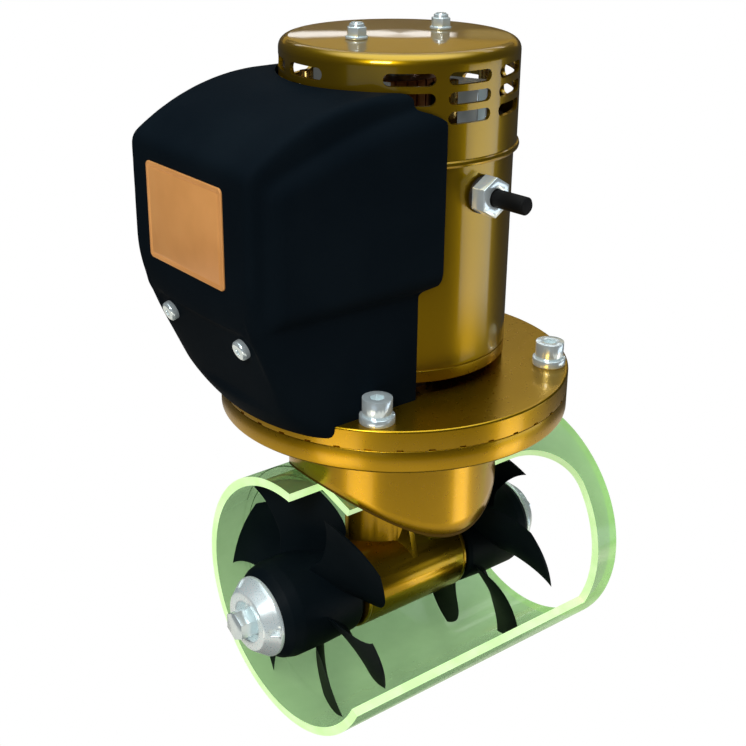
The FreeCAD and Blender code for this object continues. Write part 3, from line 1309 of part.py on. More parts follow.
def make_relays():
    """Sheet carrier on the motor tube with two direction relays, bus bars and the main fuse."""
    back = "-motor_radius - slip_gap - carrier_thickness"
    sheet_part = block("CarrierSheet", "carrier_thickness", "74", "motor_top_z - 134", (back, "-37", "132"))
    feet = [block("CarrierFoot%d" % index, "14", "4", "20", (back, "%d" % across, "%d" % low))
            for index, (across, low) in enumerate(((-37, 140), (33, 140), (-37, 200), (33, 200)))]
    room = rod("CarrierRoom", "motor_radius + slip_gap", "200", ("0", "0", "60"))
    node("relay_carrier", cut("RelayCarrier", fuse("CarrierBody", [sheet_part] + feet), [room]))
    cans, posts, bars = [], [], []
    for index, side in enumerate((-1, 1)):
        centre = (back + " - relay_radius - 2", "%d * relay_spread" % side, "relay_low_z")
        can = rod("RelayCan%d" % index, "relay_radius", "relay_height", centre)
        foot = block("RelayFoot%d" % index, "10", "26", "relay_height",
                     (back + " - 10", "%d * relay_spread - 13" % side, "relay_low_z"))
        cans.append(fuse("Relay%d" % index, [can, foot]))
        for number, shift in enumerate((-8, 8)):
            post = rod("RelayPost%d%d" % (index, number), "3", "12",
                       (back + " - relay_radius - 2", "%d * relay_spread + %d" % (side, shift),
                        "relay_low_z + relay_height"))
            posts.append(post)
    for number, shift in enumerate((-8, 8)):
        bar = block("BusBarBlank%d" % number, "9", "2 * relay_spread + 12", "2",
                    (back + " - relay_radius - 6.5", "-relay_spread - 6 + %d" % shift,
                     "relay_low_z + relay_height + %d" % (3 + 4 * number)))
        holes = [rod("BusBarHole%d%d" % (number, index), "3 + slip_gap", "30",
                     (back + " - relay_radius - 2", "%d * relay_spread + %d" % (side, reach),
                      "relay_low_z + relay_height - 5"))
                 for index, (side, reach) in enumerate(((-1, -8), (-1, 8), (1, -8), (1, 8)))]
        bars.append(cut("BusBar%d" % number, bar, [group("BusBarHoles%d" % number, holes)]))
    node("relays", group("Relays", cans))
    node("bus_bars", group("BusBars", posts + bars))
    base = block("FuseBase", "14", "56", "18", (back + " - 14", "-28", "136"))
    link = rod("FuseLink", "5", "40", (back + " - 16", "-20", "145"), "Y")
    node("main_fuse", fuse("MainFuse", [base, link]))


# ---------------------------------------------------------------- build and export


def build():
    make_tunnel()
    make_bracket()
    make_saddle_gasket()
    make_motor_foot()
    make_flange_seal()
    make_flange_screws()
    make_motor_tube()
    make_terminal()
    make_vent_cap()
    make_cap_fixings()
    make_drive_shield()
    make_motor_bearings()
    make_armature()
    make_field()
    make_brush_gear()
    make_coupling()
    make_gear_leg()
    make_leg_gasket()
    make_leg_bolts()
    make_drive_line()
    make_bevel_pair()
    make_propeller_shaft()
    make_shaft_ends()
    make_propellers()
    make_anodes()
    make_cover()
    make_cover_fixings()
    make_relays()
    doc.removeObject(gauge.Name)
    doc.recompute()


def check():
    """Stop if any object failed or a sub-part has no sound solid."""
    for thing in doc.Objects:
        if "Invalid" in thing.State or "Error" in thing.State:
            raise RuntimeError("%s failed: %s" % (thing.Name, thing.State))
    for label, thing in nodes.items():
        shape = thing.Shape
        if shape.isNull() or not shape.isValid() or not shape.Solids:
            raise RuntimeError("%s has no sound solid" % label)


def export():
    os.makedirs("parts", exist_ok=True)
    for label, thing in nodes.items():
        thing.Shape.exportStep(os.path.join("parts", label + ".step"))
        box = thing.Shape.BoundBox
        print("%-20s solids %2d volume %9.0f z %.1f..%.1f" % (
            label, len(thing.Shape.Solids), thing.Shape.Volume, box.ZMin, box.ZMax))


build()
check()
export()
print("sub-parts:", len(nodes))
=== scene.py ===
# %% [markdown]
# # An electric tunnel thruster
#
# A bow thruster pushes a boat's bow sideways. A tube, the tunnel, runs across the hull
# below the water. An upright electric motor stands on it, and a leg inside the tunnel
# carries a bevel gear box with a propeller at each end. Here the tunnel is sawn open on
# one side, as on a show model, so that the propellers can be seen.
#
# The engineering model gives every piece its place and its size. This script loads it as
# a fixed frame, makes finer surfaces for the pieces that the eye lands on, and gives every
# piece a finish made from shader nodes. Each cell does one of these things.

# %% Load the frame and note its size
import json
import math

import bmesh
import bpy
import numpy as np
from mathutils import Matrix, Vector


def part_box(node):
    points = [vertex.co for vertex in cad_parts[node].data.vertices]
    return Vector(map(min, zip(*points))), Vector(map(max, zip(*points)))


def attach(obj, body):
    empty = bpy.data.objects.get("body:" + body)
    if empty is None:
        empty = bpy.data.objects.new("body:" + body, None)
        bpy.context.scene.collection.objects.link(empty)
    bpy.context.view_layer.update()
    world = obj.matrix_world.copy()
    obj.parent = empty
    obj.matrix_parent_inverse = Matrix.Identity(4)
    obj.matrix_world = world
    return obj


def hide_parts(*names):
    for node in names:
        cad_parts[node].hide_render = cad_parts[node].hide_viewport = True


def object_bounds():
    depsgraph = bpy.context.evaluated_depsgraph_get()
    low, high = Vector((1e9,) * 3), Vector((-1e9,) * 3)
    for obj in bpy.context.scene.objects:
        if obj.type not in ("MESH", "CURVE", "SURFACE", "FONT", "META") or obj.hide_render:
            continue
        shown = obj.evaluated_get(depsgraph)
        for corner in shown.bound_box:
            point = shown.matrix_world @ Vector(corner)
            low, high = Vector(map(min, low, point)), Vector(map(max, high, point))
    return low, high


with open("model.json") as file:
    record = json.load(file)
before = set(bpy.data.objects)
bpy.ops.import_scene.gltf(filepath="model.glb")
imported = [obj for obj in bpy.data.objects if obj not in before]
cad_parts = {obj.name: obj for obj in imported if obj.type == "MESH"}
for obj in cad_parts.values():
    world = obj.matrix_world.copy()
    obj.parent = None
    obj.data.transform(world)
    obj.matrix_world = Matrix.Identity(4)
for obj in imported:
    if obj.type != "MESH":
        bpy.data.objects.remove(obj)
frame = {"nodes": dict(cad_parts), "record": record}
nodes = frame["nodes"]
cad_low, cad_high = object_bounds()
MM = 0.001
print("nodes", len(nodes), "size in mm", [round(v / MM, 1) for v in cad_high - cad_low])

# %% [markdown]
# ## The camera
#
# The object's origin is where the motor's axis crosses the tunnel's. The camera stands to
# the left of the open side and looks down on it by 22 degrees. The lens is shifted a
# little instead of turned, which keeps the motor's sides as upright as they are.

# %% Stand the camera
CAMERA_AT = np.array([-369.17, -442.49, 361.69]) * MM
CAMERA_LOOKS = Vector((0.5683, 0.7316, -0.3766)).normalized()
CAMERA_ROLL = 0.0051
camera_data = bpy.data.cameras.new("camera")
camera_data.sensor_width = 36.0
camera_data.lens = 61.0
camera_data.shift_x = 0.0265
camera_data.shift_y = -0.0472
camera = bpy.data.objects.new("camera", camera_data)
camera.location = CAMERA_AT
aim = CAMERA_LOOKS.to_track_quat("-Z", "Y")
camera.rotation_euler = (aim.to_matrix() @ Matrix.Rotation(CAMERA_ROLL, 3, "Z")).to_euler()
bpy.context.scene.collection.objects.link(camera)
bpy.context.scene.camera = camera
camera_data.clip_start, camera_data.clip_end = 0.01, 20.0
print("camera", [round(v, 3) for v in camera.location])

# %% [markdown]
# ## Light and floor
#
# A glossy round motor is a mirror: what it shows is the studio round it. So the studio is
# painted on the world, as panels in a dark room. Each panel is a box in two angles, the
# azimuth from +X towards +Y and the elevation, with soft borders. A mirror ray from the
# motor's upright side goes down as steeply as the camera looks down, so the panels for it
# lie below the horizon, where a real studio has white reflectors standing on its floor.
# The camera itself sees plain white, and so do rays that pass through the tunnel.


# %% The painted studio
def shader(name):
    """A new node material, with its nodes cleared but for the output."""
    made = bpy.data.materials.new(name)
    made.use_nodes = True
    made.node_tree.nodes.clear()
    output = made.node_tree.nodes.new("ShaderNodeOutputMaterial")
    return made, made.node_tree.nodes, made.node_tree.links, output


def math_node(tree_nodes, links, operation, *values):
    """One arithmetic node; each value is a number or another node's output."""
    made = tree_nodes.new("ShaderNodeMath")
    made.operation = operation
    for slot, value in zip(made.inputs, values):
        if isinstance(value, (int, float)):
            slot.default_value = value
        else:
            links.new(value, slot)
    return made.outputs[0]


def window_of(tree_nodes, links, angle, low, high, soft):
    """One between two angles and nought outside, with borders that are soft degrees wide."""
    rise = tree_nodes.new("ShaderNodeMapRange")
    fall = tree_nodes.new("ShaderNodeMapRange")
    border = soft / 2
    for step, start, end in ((rise, low - border, low + border), (fall, high + border, high - border)):
        step.interpolation_type = "SMOOTHSTEP"
        step.inputs["From Min"].default_value = start
        step.inputs["From Max"].default_value = end
        links.new(angle, step.inputs["Value"])
    return math_node(tree_nodes, links, "MULTIPLY", rise.outputs[0], fall.outputs[0])


ALL_ROUND = (-400, 400)
DIM_ROOM = (0.030, 0.034, 0.038)

# azimuth from, to; elevation from, to; softness in degrees; colour; strength
PANELS = [
    # the upright strip on the barrel, and the highlight on the neck below it
    (-62, -20, -21, -8, 3, (0.90, 1.0, 1.15), 1.5),
    (-57, -37, -34, -24, 5, (1.0, 0.90, 0.78), 2.6),
    # a dim panel for the cap's side, and a warm one for the left of the neck
    (-178, -132, -20, -6, 6, (0.80, 1.0, 1.25), 0.28),
    (-180, -150, -36, -25, 6, (1.0, 0.86, 0.66), 2.6),
    # the glow of the ground, which the rims and screws show
    (*ALL_ROUND, -50, -26, 3, (1.0, 0.94, 0.82), 0.72),
    # three low panels for the flat top of the cap, seen at a shallow angle
    (47.5, 57, 8.1, 9.2, 0.5, (1.0, 0.97, 0.93), 2.1),
    (20, 80, 9.4, 15, 1.0, (1.0, 0.60, 0.06), 0.50),
    (20, 47, 7.4, 9.2, 0.8, (1.0, 0.74, 0.25), 0.35),
    # two for the level faces below, and the light from overhead
    (20, 80, 27, 31, 2, (1.0, 1.0, 1.0), 2.0),
    (0, 75, 38, 44, 3, (1.0, 1.0, 1.0), 1.6),
    (*ALL_ROUND, 55, 95, 20, (0.86, 0.96, 1.0), 2.3),
]


def painted_studio():
    """A world that is white to camera and transmission rays, and a dark room with panels to the rest."""
    world = bpy.data.worlds.new("studio")
    bpy.context.scene.world = world
    world.use_nodes = True
    tree_nodes, links = world.node_tree.nodes, world.node_tree.links
    tree_nodes.clear()
    where = tree_nodes.new("ShaderNodeTexCoord")
    parts = tree_nodes.new("ShaderNodeSeparateXYZ")
    links.new(where.outputs["Generated"], parts.inputs[0])
    azimuth = math_node(tree_nodes, links, "DEGREES",
                        math_node(tree_nodes, links, "ARCTAN2", parts.outputs[1], parts.outputs[0]))
    elevation = math_node(tree_nodes, links, "DEGREES",
                          math_node(tree_nodes, links, "ARCSINE", parts.outputs[2]))
    light = None
    for first, last, low, high, soft, colour, strength in PANELS:
        mask = window_of(tree_nodes, links, elevation, low, high, soft)
        if last - first < 360:
            mask = math_node(tree_nodes, links, "MULTIPLY", mask,
                             window_of(tree_nodes, links, azimuth, first, last, soft))
        panel = tree_nodes.new("ShaderNodeVectorMath")
        panel.operation = "SCALE"
        panel.inputs[0].default_value = colour
        links.new(math_node(tree_nodes, links, "MULTIPLY", mask, strength), panel.inputs["Scale"])
        if light is None:
            light = panel.outputs[0]
        else:
            both = tree_nodes.new("ShaderNodeVectorMath")
            links.new(light, both.inputs[0])
            links.new(panel.outputs[0], both.inputs[1])
            light = both.outputs[0]
    dim = tree_nodes.new("ShaderNodeVectorMath")
    dim.inputs[1].default_value = DIM_ROOM
    links.new(light, dim.inputs[0])
    lit = tree_nodes.new("ShaderNodeBackground")
    seen = tree_nodes.new("ShaderNodeBackground")
    links.new(dim.outputs[0], lit.inputs["Color"])
    seen.inputs["Color"].default_value = (1, 1, 1, 1)
    path = tree_nodes.new("ShaderNodeLightPath")
    through = math_node(tree_nodes, links, "MAXIMUM", path.outputs["Is Camera Ray"],
                        path.outputs["Is Transmission Ray"])
    mix = tree_nodes.new("ShaderNodeMixShader")
    links.new(through, mix.inputs[0])
    links.new(lit.outputs[0], mix.inputs[1])
    links.new(seen.outputs[0], mix.inputs[2])
    output = tree_nodes.new("ShaderNodeOutputWorld")
    links.new(mix.outputs[0], output.inputs["Surface"])


painted_studio()
print("panels", len(PANELS))


# %% One lamp and the floor
def soft_box(name, at, target, size, power, tint):
    """An area lamp of a width and height in metres that faces a point."""
    lamp_data = bpy.data.lights.new(name, "AREA")
    lamp_data.shape = "RECTANGLE"
    lamp_data.size, lamp_data.size_y = size
    lamp_data.energy = power
    lamp_data.color = tint
    lamp = bpy.data.objects.new(name, lamp_data)
    lamp.location = at
    lamp.rotation_euler = (Vector(target) - Vector(at)).to_track_quat("-Z", "Y").to_euler()
    bpy.context.scene.collection.objects.link(lamp)


KEY_AT, OBJECT_MIDDLE = (-0.95, -0.6, 0.95), (0.0, 0.0, 0.11)
soft_box("left_key", KEY_AT, OBJECT_MIDDLE, (0.4, 0.4), 8.0, (0.98, 0.99, 1.0))


def floor_plane():
    """A wide white sheet that only camera rays see: it glows evenly, so it shows no shadow."""
    mesh = bpy.data.meshes.new("floor")
    reach, height = 6.0, cad_low.z - 0.0005
    corners = [(-reach, -reach), (reach, -reach), (reach, reach), (-reach, reach)]
    mesh.from_pydata([(*corner, height) for corner in corners], [], [(0, 1, 2, 3)])
    floor = bpy.data.objects.new("floor", mesh)
    bpy.context.scene.collection.objects.link(floor)
    made, tree_nodes, links, output = shader("floor_white")
    glow = tree_nodes.new("ShaderNodeEmission")
    glow.inputs["Color"].default_value = (1, 1, 1, 1)
    links.new(glow.outputs[0], output.inputs["Surface"])
    mesh.materials.append(made)
    for sight in ("visible_diffuse", "visible_glossy", "visible_transmission", "visible_volume_scatter",
                  "visible_shadow"):
        setattr(floor, sight, False)


floor_plane()
bpy.context.scene.view_settings.view_transform = "Standard"
print("floor at", round(cad_low.z / MM, 1), "mm")

# %% [markdown]
# ## Finishes
#
# Most of what shows is one gold enamel over metal. Up close an enamel is never quite flat:
# it has a faint orange peel and its colour drifts a little. So each finish below takes its
# base colour from two tones that a slow noise mixes, and its bump from a fine noise, both
# on Object coordinates. Steel parts get a drawn-out noise, like the marks of turning.


# %% The recipe for a finish
DENT_DEPTH = 0.0004
TONES_FROM, TONES_TO = 0.35, 0.65


def noise(tree_nodes, links, scale, detail, vector):
    """The share, from nought to one, that a noise gives at each place."""
    made = tree_nodes.new("ShaderNodeTexNoise")
    made.inputs["Scale"].default_value = scale
    made.inputs["Detail"].default_value = detail
    links.new(vector, made.inputs["Vector"])
    return made.outputs["Fac"]


def finish(name, low, high, roughness, metallic, drift, grain, bump, stretch=(1, 1, 1), coat=0.0,
           coat_roughness=0.1, spread=0.06, specular=0.5, clear=None, glow=0.0):
    """A Principled finish whose colour drifts from low to high and whose surface has a fine grain.

    drift and grain are noise scales per metre; stretch draws the grain out along an axis.
    The roughness varies by spread either way. clear is (share, tint): that share of the
    light passes through and takes the tint. glow is the strength of a light of its own: a
    painted glow, on a part that is no lamp.
    """
    made, tree_nodes, links, output = shader(name)
    body = tree_nodes.new("ShaderNodeBsdfPrincipled")
    if clear:
        window = tree_nodes.new("ShaderNodeBsdfTransparent")
        window.inputs["Color"].default_value = (*clear[1], 1)
        mix = tree_nodes.new("ShaderNodeMixShader")
        mix.inputs[0].default_value = clear[0]
        links.new(body.outputs[0], mix.inputs[1])
        links.new(window.outputs[0], mix.inputs[2])
        links.new(mix.outputs[0], output.inputs["Surface"])
    else:
        links.new(body.outputs[0], output.inputs["Surface"])
    where = tree_nodes.new("ShaderNodeTexCoord")
    scaled = tree_nodes.new("ShaderNodeMapping")
    scaled.inputs["Scale"].default_value = stretch
    links.new(where.outputs["Object"], scaled.inputs["Vector"])
    tones = tree_nodes.new("ShaderNodeValToRGB")
    tones.color_ramp.elements[0].position = TONES_FROM
    tones.color_ramp.elements[1].position = TONES_TO
    tones.color_ramp.elements[0].color = (*low, 1)
    tones.color_ramp.elements[1].color = (*high, 1)
    links.new(noise(tree_nodes, links, drift, 4.0, where.outputs["Object"]), tones.inputs[0])
    links.new(tones.outputs[0], body.inputs["Base Color"])
    fine = noise(tree_nodes, links, grain, 3.0, scaled.outputs[0])
    rough = tree_nodes.new("ShaderNodeMapRange")
    rough.inputs["To Min"].default_value = roughness - spread
    rough.inputs["To Max"].default_value = roughness + spread
    links.new(fine, rough.inputs["Value"])
    links.new(rough.outputs[0], body.inputs["Roughness"])
    dents = tree_nodes.new("ShaderNodeBump")
    dents.inputs["Strength"].default_value = bump
    dents.inputs["Distance"].default_value = DENT_DEPTH
    links.new(fine, dents.inputs["Height"])
    links.new(dents.outputs[0], body.inputs["Normal"])
    body.inputs["Metallic"].default_value = metallic
    body.inputs["Coat Weight"].default_value = coat
    body.inputs["Coat Roughness"].default_value = coat_roughness
    body.inputs["Specular IOR Level"].default_value = specular
    # A glow is painted light: the part gives off light though it is no lamp.
    if glow:
        links.new(tones.outputs[0], body.inputs["Emission Color"])
        body.inputs["Emission Strength"].default_value = glow
    return made


# %% [markdown]
# The enamel is mostly metallic with a clear coat on top: that gives the dark olive sides and
# the orange glow of its highlights. The castings, which are the bracket, the motor's foot
# and the gear leg, have a paler gold and a thinner coat. The laminate of the tunnel is pale
# green and lets light through. Its sawn edges give off a painted glow, light of their own
# that stands in for the light clear sheet lets out at its cut edges. The plated steel, the
# zinc and the copper label carry a faint painted glow as well.

# %% The finishes of this object
gold_enamel = finish("gold_enamel", (0.40, 0.235, 0.003), (0.44, 0.26, 0.004), 0.30, 0.86, 14, 700, 0.010,
                     coat=0.8, coat_roughness=0.03, spread=0.02, specular=0.0)
gold_casting = finish("gold_casting", (0.50, 0.285, 0.006), (0.55, 0.315, 0.009), 0.28, 0.94, 30, 420,
                      0.003, coat=0.25, coat_roughness=0.06, spread=0.02, specular=0.0)
green_laminate = finish("green_laminate", (0.42, 0.62, 0.27), (0.52, 0.72, 0.35), 0.20, 0.0, 40, 260, 0.05,
                        coat=0.7, coat_roughness=0.04, clear=(0.55, (0.73, 0.93, 0.67)))
# The sawn edge's glow is painted light: it gives off light of its own though it is no lamp, standing in for
# light coming out at the cut edges.
sawn_laminate_painted_glow = finish("sawn_laminate_painted_glow", (0.58, 0.85, 0.38), (0.68, 0.93, 0.48), 0.42, 0.0, 90, 1400, 0.10,
                       glow=0.64)
black_moulding = finish("black_moulding", (0.0042, 0.0076, 0.0114), (0.0058, 0.0100, 0.0142), 0.6, 0.0, 20,
                        1500, 0.05, specular=0.008)
navy_composite = finish("navy_composite", (0.0030, 0.0065, 0.0090), (0.0052, 0.0095, 0.0125), 0.5, 0.0, 40, 800,
                        0.04, specular=0.06)
# A faint painted glow: the plated steel gives off light of its own, though it is no lamp.
bright_plate_painted_glow = finish("bright_plate_painted_glow", (0.80, 0.90, 0.92), (0.88, 0.97, 0.98), 0.20, 0.65, 200, 2200, 0.010,
                      spread=0.03, glow=0.07)
turned_steel = finish("turned_steel", (0.42, 0.46, 0.48), (0.56, 0.60, 0.62), 0.32, 0.85, 120, 1800, 0.04,
                      stretch=(1, 1, 12))
# A faint painted glow: the zinc gives off light of its own, though it is no lamp.
cast_zinc_painted_glow = finish("cast_zinc_painted_glow", (0.86, 0.97, 0.98), (0.94, 1.0, 1.0), 0.28, 0.42, 160, 1300, 0.010,
                   spread=0.03, glow=0.07)
black_rubber = finish("black_rubber", (0.003, 0.003, 0.003), (0.006, 0.006, 0.006), 0.6, 0.0, 60, 1600, 0.08,
                      specular=0.15)
wound_copper = finish("wound_copper", (0.45, 0.16, 0.055), (0.62, 0.26, 0.10), 0.34, 0.95, 180, 2600, 0.1,
                      stretch=(1, 1, 6))
turned_brass = finish("turned_brass", (0.55, 0.36, 0.10), (0.68, 0.46, 0.15), 0.28, 0.95, 120, 1700, 0.03)
pressed_carbon = finish("pressed_carbon", (0.018, 0.018, 0.020), (0.035, 0.035, 0.038), 0.5, 0.2, 150,
                        2400, 0.1)
dark_insulator = finish("dark_insulator", (0.012, 0.011, 0.010), (0.024, 0.021, 0.018), 0.42, 0.0, 90,
                        1500, 0.05)
# A faint painted glow: the label gives off light of its own, though it is no lamp.
copper_label_painted_glow = finish("copper_label_painted_glow", (0.82, 0.36, 0.105), (0.98, 0.46, 0.15), 0.42, 0.2, 22, 1900, 0.02,
                      stretch=(1, 18, 1), glow=0.10)
bedding = finish("bedding", (0.115, 0.062, 0.004), (0.150, 0.082, 0.006), 0.55, 0.0, 30, 900, 0.05,
                 specular=0.1)

SLOT_FINISH = {
    "tunnel_laminate": green_laminate, "gold_paint": gold_enamel, "bronze": gold_casting,
    "rubber": black_rubber, "bright_steel": bright_plate_painted_glow, "steel": turned_steel, "copper": wound_copper,
    "brass": turned_brass, "carbon": pressed_carbon, "insulator": dark_insulator,
    "navy_plastic": navy_composite, "zinc": cast_zinc_painted_glow, "black_plastic": black_moulding, "label": copper_label_painted_glow}
print("finishes", len(SLOT_FINISH))

# %% [markdown]
# ## Dressing the frame's own pieces
#
# Nuts, screws, bearings and the like already have the right shape. Their meshes are loose
# triangles, so a Weld modifier joins them, a small Bevel gives the edges a highlight, and
# the faces are shaded smooth. The vertices themselves aren't touched.


# %% Give each engineering node its finish and soft edges
WELD_WITHIN, PLAIN_EDGE, BEVEL_ANGLE = 0.02, 0.15, 30.0


def soften(thing, width):
    """Weld, bevel by width in mm where faces meet at a sharp angle, and shade smooth."""
    weld = thing.modifiers.new("weld", "WELD")
    weld.merge_threshold = WELD_WITHIN * MM
    bevel = thing.modifiers.new("bevel", "BEVEL")
    bevel.width = width * MM
    bevel.segments = 2
    bevel.limit_method = "ANGLE"
    bevel.angle_limit = math.radians(BEVEL_ANGLE)
    bevel.harden_normals = True
    thing.data.polygons.foreach_set("use_smooth", np.ones(len(thing.data.polygons), bool))


slot_of = {part["node"]: part["material_slot"] for part in frame["record"]["subparts"]}
EDGE_WIDTH = {
    "gear_leg": 0.6, "bearing_cap_near": 0.5, "bearing_cap_far": 0.5, "flange_screws": 0.35,
    "terminal_nut": 0.35, "anode_near": 0.35, "anode_far": 0.35, "lock_washers": 0.3,
    "propeller_nuts": 0.3, "cap_nuts": 0.25, "cover_screws": 0.25}
NODE_FINISH = {"terminal_stud": black_rubber, "saddle_gasket": bedding}
for name, thing in nodes.items():
    thing.data.materials.clear()
    thing.data.materials.append(NODE_FINISH.get(name) or SLOT_FINISH[slot_of[name]])
    soften(thing, EDGE_WIDTH.get(name, PLAIN_EDGE))
print("dressed", len(nodes), "nodes")

# %% [markdown]
# ## Surfaces from numbers
#
# The large pieces are worked out with numpy. A grid of points, rows by columns, becomes a
# mesh: point (i, j) is joined to its neighbours in both directions, and the last column
# may join the first, which closes a turned part. A profile for turning is a list of
# corners, each with a radius, and the corners are rounded by arcs before it is turned.


# %% Grids of points as meshes
def mesh_piece(name, points, quads, finishes, body, marks=None, sharp=40.0):
    """A mesh object from points in mm and faces, shaded smooth but for edges over an angle."""
    mesh = bpy.data.meshes.new(name)
    mesh.from_pydata((np.asarray(points, float) * MM).tolist(), [], [list(face) for face in quads])
    for made in finishes:
        mesh.materials.append(made)
    if marks is not None:
        mesh.polygons.foreach_set("material_index", np.asarray(marks, np.int32))
    mesh.polygons.foreach_set("use_smooth", np.ones(len(mesh.polygons), bool))
    mesh.update()
    mesh.set_sharp_from_angle(angle=math.radians(sharp))
    thing = bpy.data.objects.new(name, mesh)
    bpy.context.scene.collection.objects.link(thing)
    if body:
        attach(thing, body)
    return thing


def grid_faces(rows, columns, wrap_rows=False, wrap_columns=False, offset=0):
    """Quads between neighbouring points of a grid, as an array of corner numbers."""
    down = np.arange(rows if wrap_rows else rows - 1)
    across = np.arange(columns if wrap_columns else columns - 1)
    i, j = np.meshgrid(down, across, indexing="ij")
    i2, j2 = (i + 1) % rows, (j + 1) % columns
    faces = np.stack([i * columns + j, i * columns + j2, i2 * columns + j2, i2 * columns + j], -1)
    return faces.reshape(-1, 4) + offset


def prism(low, high):
    """A closed block between two outlines: its points, and its sides and two ends as faces."""
    count = len(low)
    k = np.arange(count)
    sides = np.stack([k, (k + 1) % count, (k + 1) % count + count, k + count], -1).tolist()
    ends = [list(range(count))[::-1], list(range(count, 2 * count))]
    return np.concatenate([low, high]), sides + ends


def spun(first, second, angle):
    """Two coordinates a and b turned by an angle: a cos - b sin, and a sin + b cos."""
    c, s = np.cos(angle), np.sin(angle)
    return first * c - second * s, first * s + second * c


print("a grid of 3 by 4 points has", len(grid_faces(3, 4)), "faces")


# %% Profiles and turning
def rounded(corners, steps=5):
    """A closed profile with arcs at its corners. Each corner is (across, up, radius).

    An arc starts and ends where a circle of that radius touches the two sides, so it
    takes radius / tan(half the corner's angle) off each side.
    """
    points = np.array([corner[:2] for corner in corners], float)
    line = []
    for k, (_, _, radius) in enumerate(corners):
        here, before, after = points[k], points[k - 1], points[(k + 1) % len(points)]
        if radius <= 0:
            line.append(here)
            continue
        a, b = before - here, after - here
        room = min(np.linalg.norm(a), np.linalg.norm(b)) * 0.49
        a, b = a / np.linalg.norm(a), b / np.linalg.norm(b)
        half = math.acos(np.clip(a @ b, -1, 1)) / 2
        reach = min(radius / math.tan(half), room)
        radius = reach * math.tan(half)
        centre = here + (a + b) / np.linalg.norm(a + b) * radius / math.sin(half)
        start, end = here + a * reach - centre, here + b * reach - centre
        turn = math.atan2(start[0] * end[1] - start[1] * end[0], start @ end)
        for share in np.linspace(0, 1, steps):
            c, s = math.cos(turn * share), math.sin(turn * share)
            line.append(centre + np.array([c * start[0] - s * start[1], s * start[0] + c * start[1]]))
    return np.array(line)


def refined(line, longest):
    """The closed line with each side cut so that no step is longer than a length."""
    out = []
    for here, after in zip(line, np.roll(line, -1, axis=0)):
        count = max(1, int(math.ceil(np.linalg.norm(after - here) / longest)))
        out += [here + (after - here) * k / count for k in range(count)]
    return np.array(out)


def turned_points(line, segments, axis="Z"):
    """The ring grid of a profile (radius, height) turned about the Z or the X axis."""
    angle = np.linspace(0, 2 * math.pi, segments, endpoint=False)
    radius, height = line[:, 0][:, None], line[:, 1][:, None]
    c, s = np.cos(angle)[None, :], np.sin(angle)[None, :]
    if axis == "Z":
        return np.stack([radius * c, radius * s, height + 0 * c], -1)
    return np.stack([height + 0 * c, radius * c, radius * s], -1)


def turn(name, corners, finish_of, body, segments=160, longest=12.0, steps=5):
    """A closed ring: the rounded profile turned a full circle about Z."""
    line = refined(rounded(corners, steps), longest)
    points = turned_points(line, segments)
    faces = grid_faces(len(line), segments, wrap_rows=True, wrap_columns=True)
    return outward(mesh_piece(name, points.reshape(-1, 3), faces, [finish_of], body))


def outward(thing):
    """Turn a closed mesh's faces outwards: the volume its faces enclose must be positive."""
    mesh = thing.data
    corners = np.zeros(len(mesh.vertices) * 3)
    mesh.vertices.foreach_get("co", corners)
    corners = corners.reshape(-1, 3)
    mesh.calc_loop_triangles()
    triangles = np.zeros(len(mesh.loop_triangles) * 3, np.int32)
    mesh.loop_triangles.foreach_get("vertices", triangles)
    a, b, c = (corners[triangles.reshape(-1, 3)[:, k]] for k in range(3))
    if np.einsum("ij,ij->i", a, np.cross(b, c)).sum() < 0:
        mesh.flip_normals()
    return thing


print("a square with round corners has", len(rounded([(0, 0, 1), (9, 0, 1), (9, 9, 1), (0, 9, 1)])), "points")


# %% Cutting, joining and levelling
def carve(thing, cutters, sharp=35.0):
    """Cut closed meshes out of a piece with a Boolean, and keep the result as its mesh."""
    for cutter in cutters:
        step = thing.modifiers.new("carve", "BOOLEAN")
        step.object = cutter
        step.operation = "DIFFERENCE"
        step.solver = "EXACT"
    finished = thing.evaluated_get(bpy.context.evaluated_depsgraph_get())
    result = bpy.data.meshes.new_from_object(finished)
    thing.modifiers.clear()
    old = thing.data
    thing.data = result
    result.name = thing.name
    bpy.data.meshes.remove(old)
    for cutter in cutters:
        bpy.data.objects.remove(cutter)
    result.polygons.foreach_set("use_smooth", np.ones(len(result.polygons), bool))
    result.set_sharp_from_angle(angle=math.radians(sharp))
    return thing


def level(thing):
    """Weigh each corner's normal by the size of the faces round it, so flats look flat."""
    weigh = thing.modifiers.new("level", "WEIGHTED_NORMAL")
    weigh.keep_sharp = True
    weigh.weight = 80


def merged(thing, distance):
    """Join points closer than a distance in mm, and make the faces agree on their outside."""
    work = bmesh.new()
    work.from_mesh(thing.data)
    bmesh.ops.remove_doubles(work, verts=work.verts, dist=distance * MM)
    bmesh.ops.recalc_face_normals(work, faces=work.faces)
    work.to_mesh(thing.data)
    work.free()
    return thing


print("carve, level and merged are defined")

# %% [markdown]
# ## The tunnel
#
# The tunnel is a glass-fibre tube, 134 mm across outside. A show model's tube is sawn open
# on the side that faces the viewer. In the flat, unrolled sheet the opening is a strip
# with a step near the left end and one round corner at the right. So the wall is a grid in
# x along the tube and an angle round it, and the angle stops where the saw went: the upper
# limit is a function of x. The two sawn edges get a paler finish of their own that gives
# off a painted glow, standing in for light that comes out at the cut edges of the laminate.

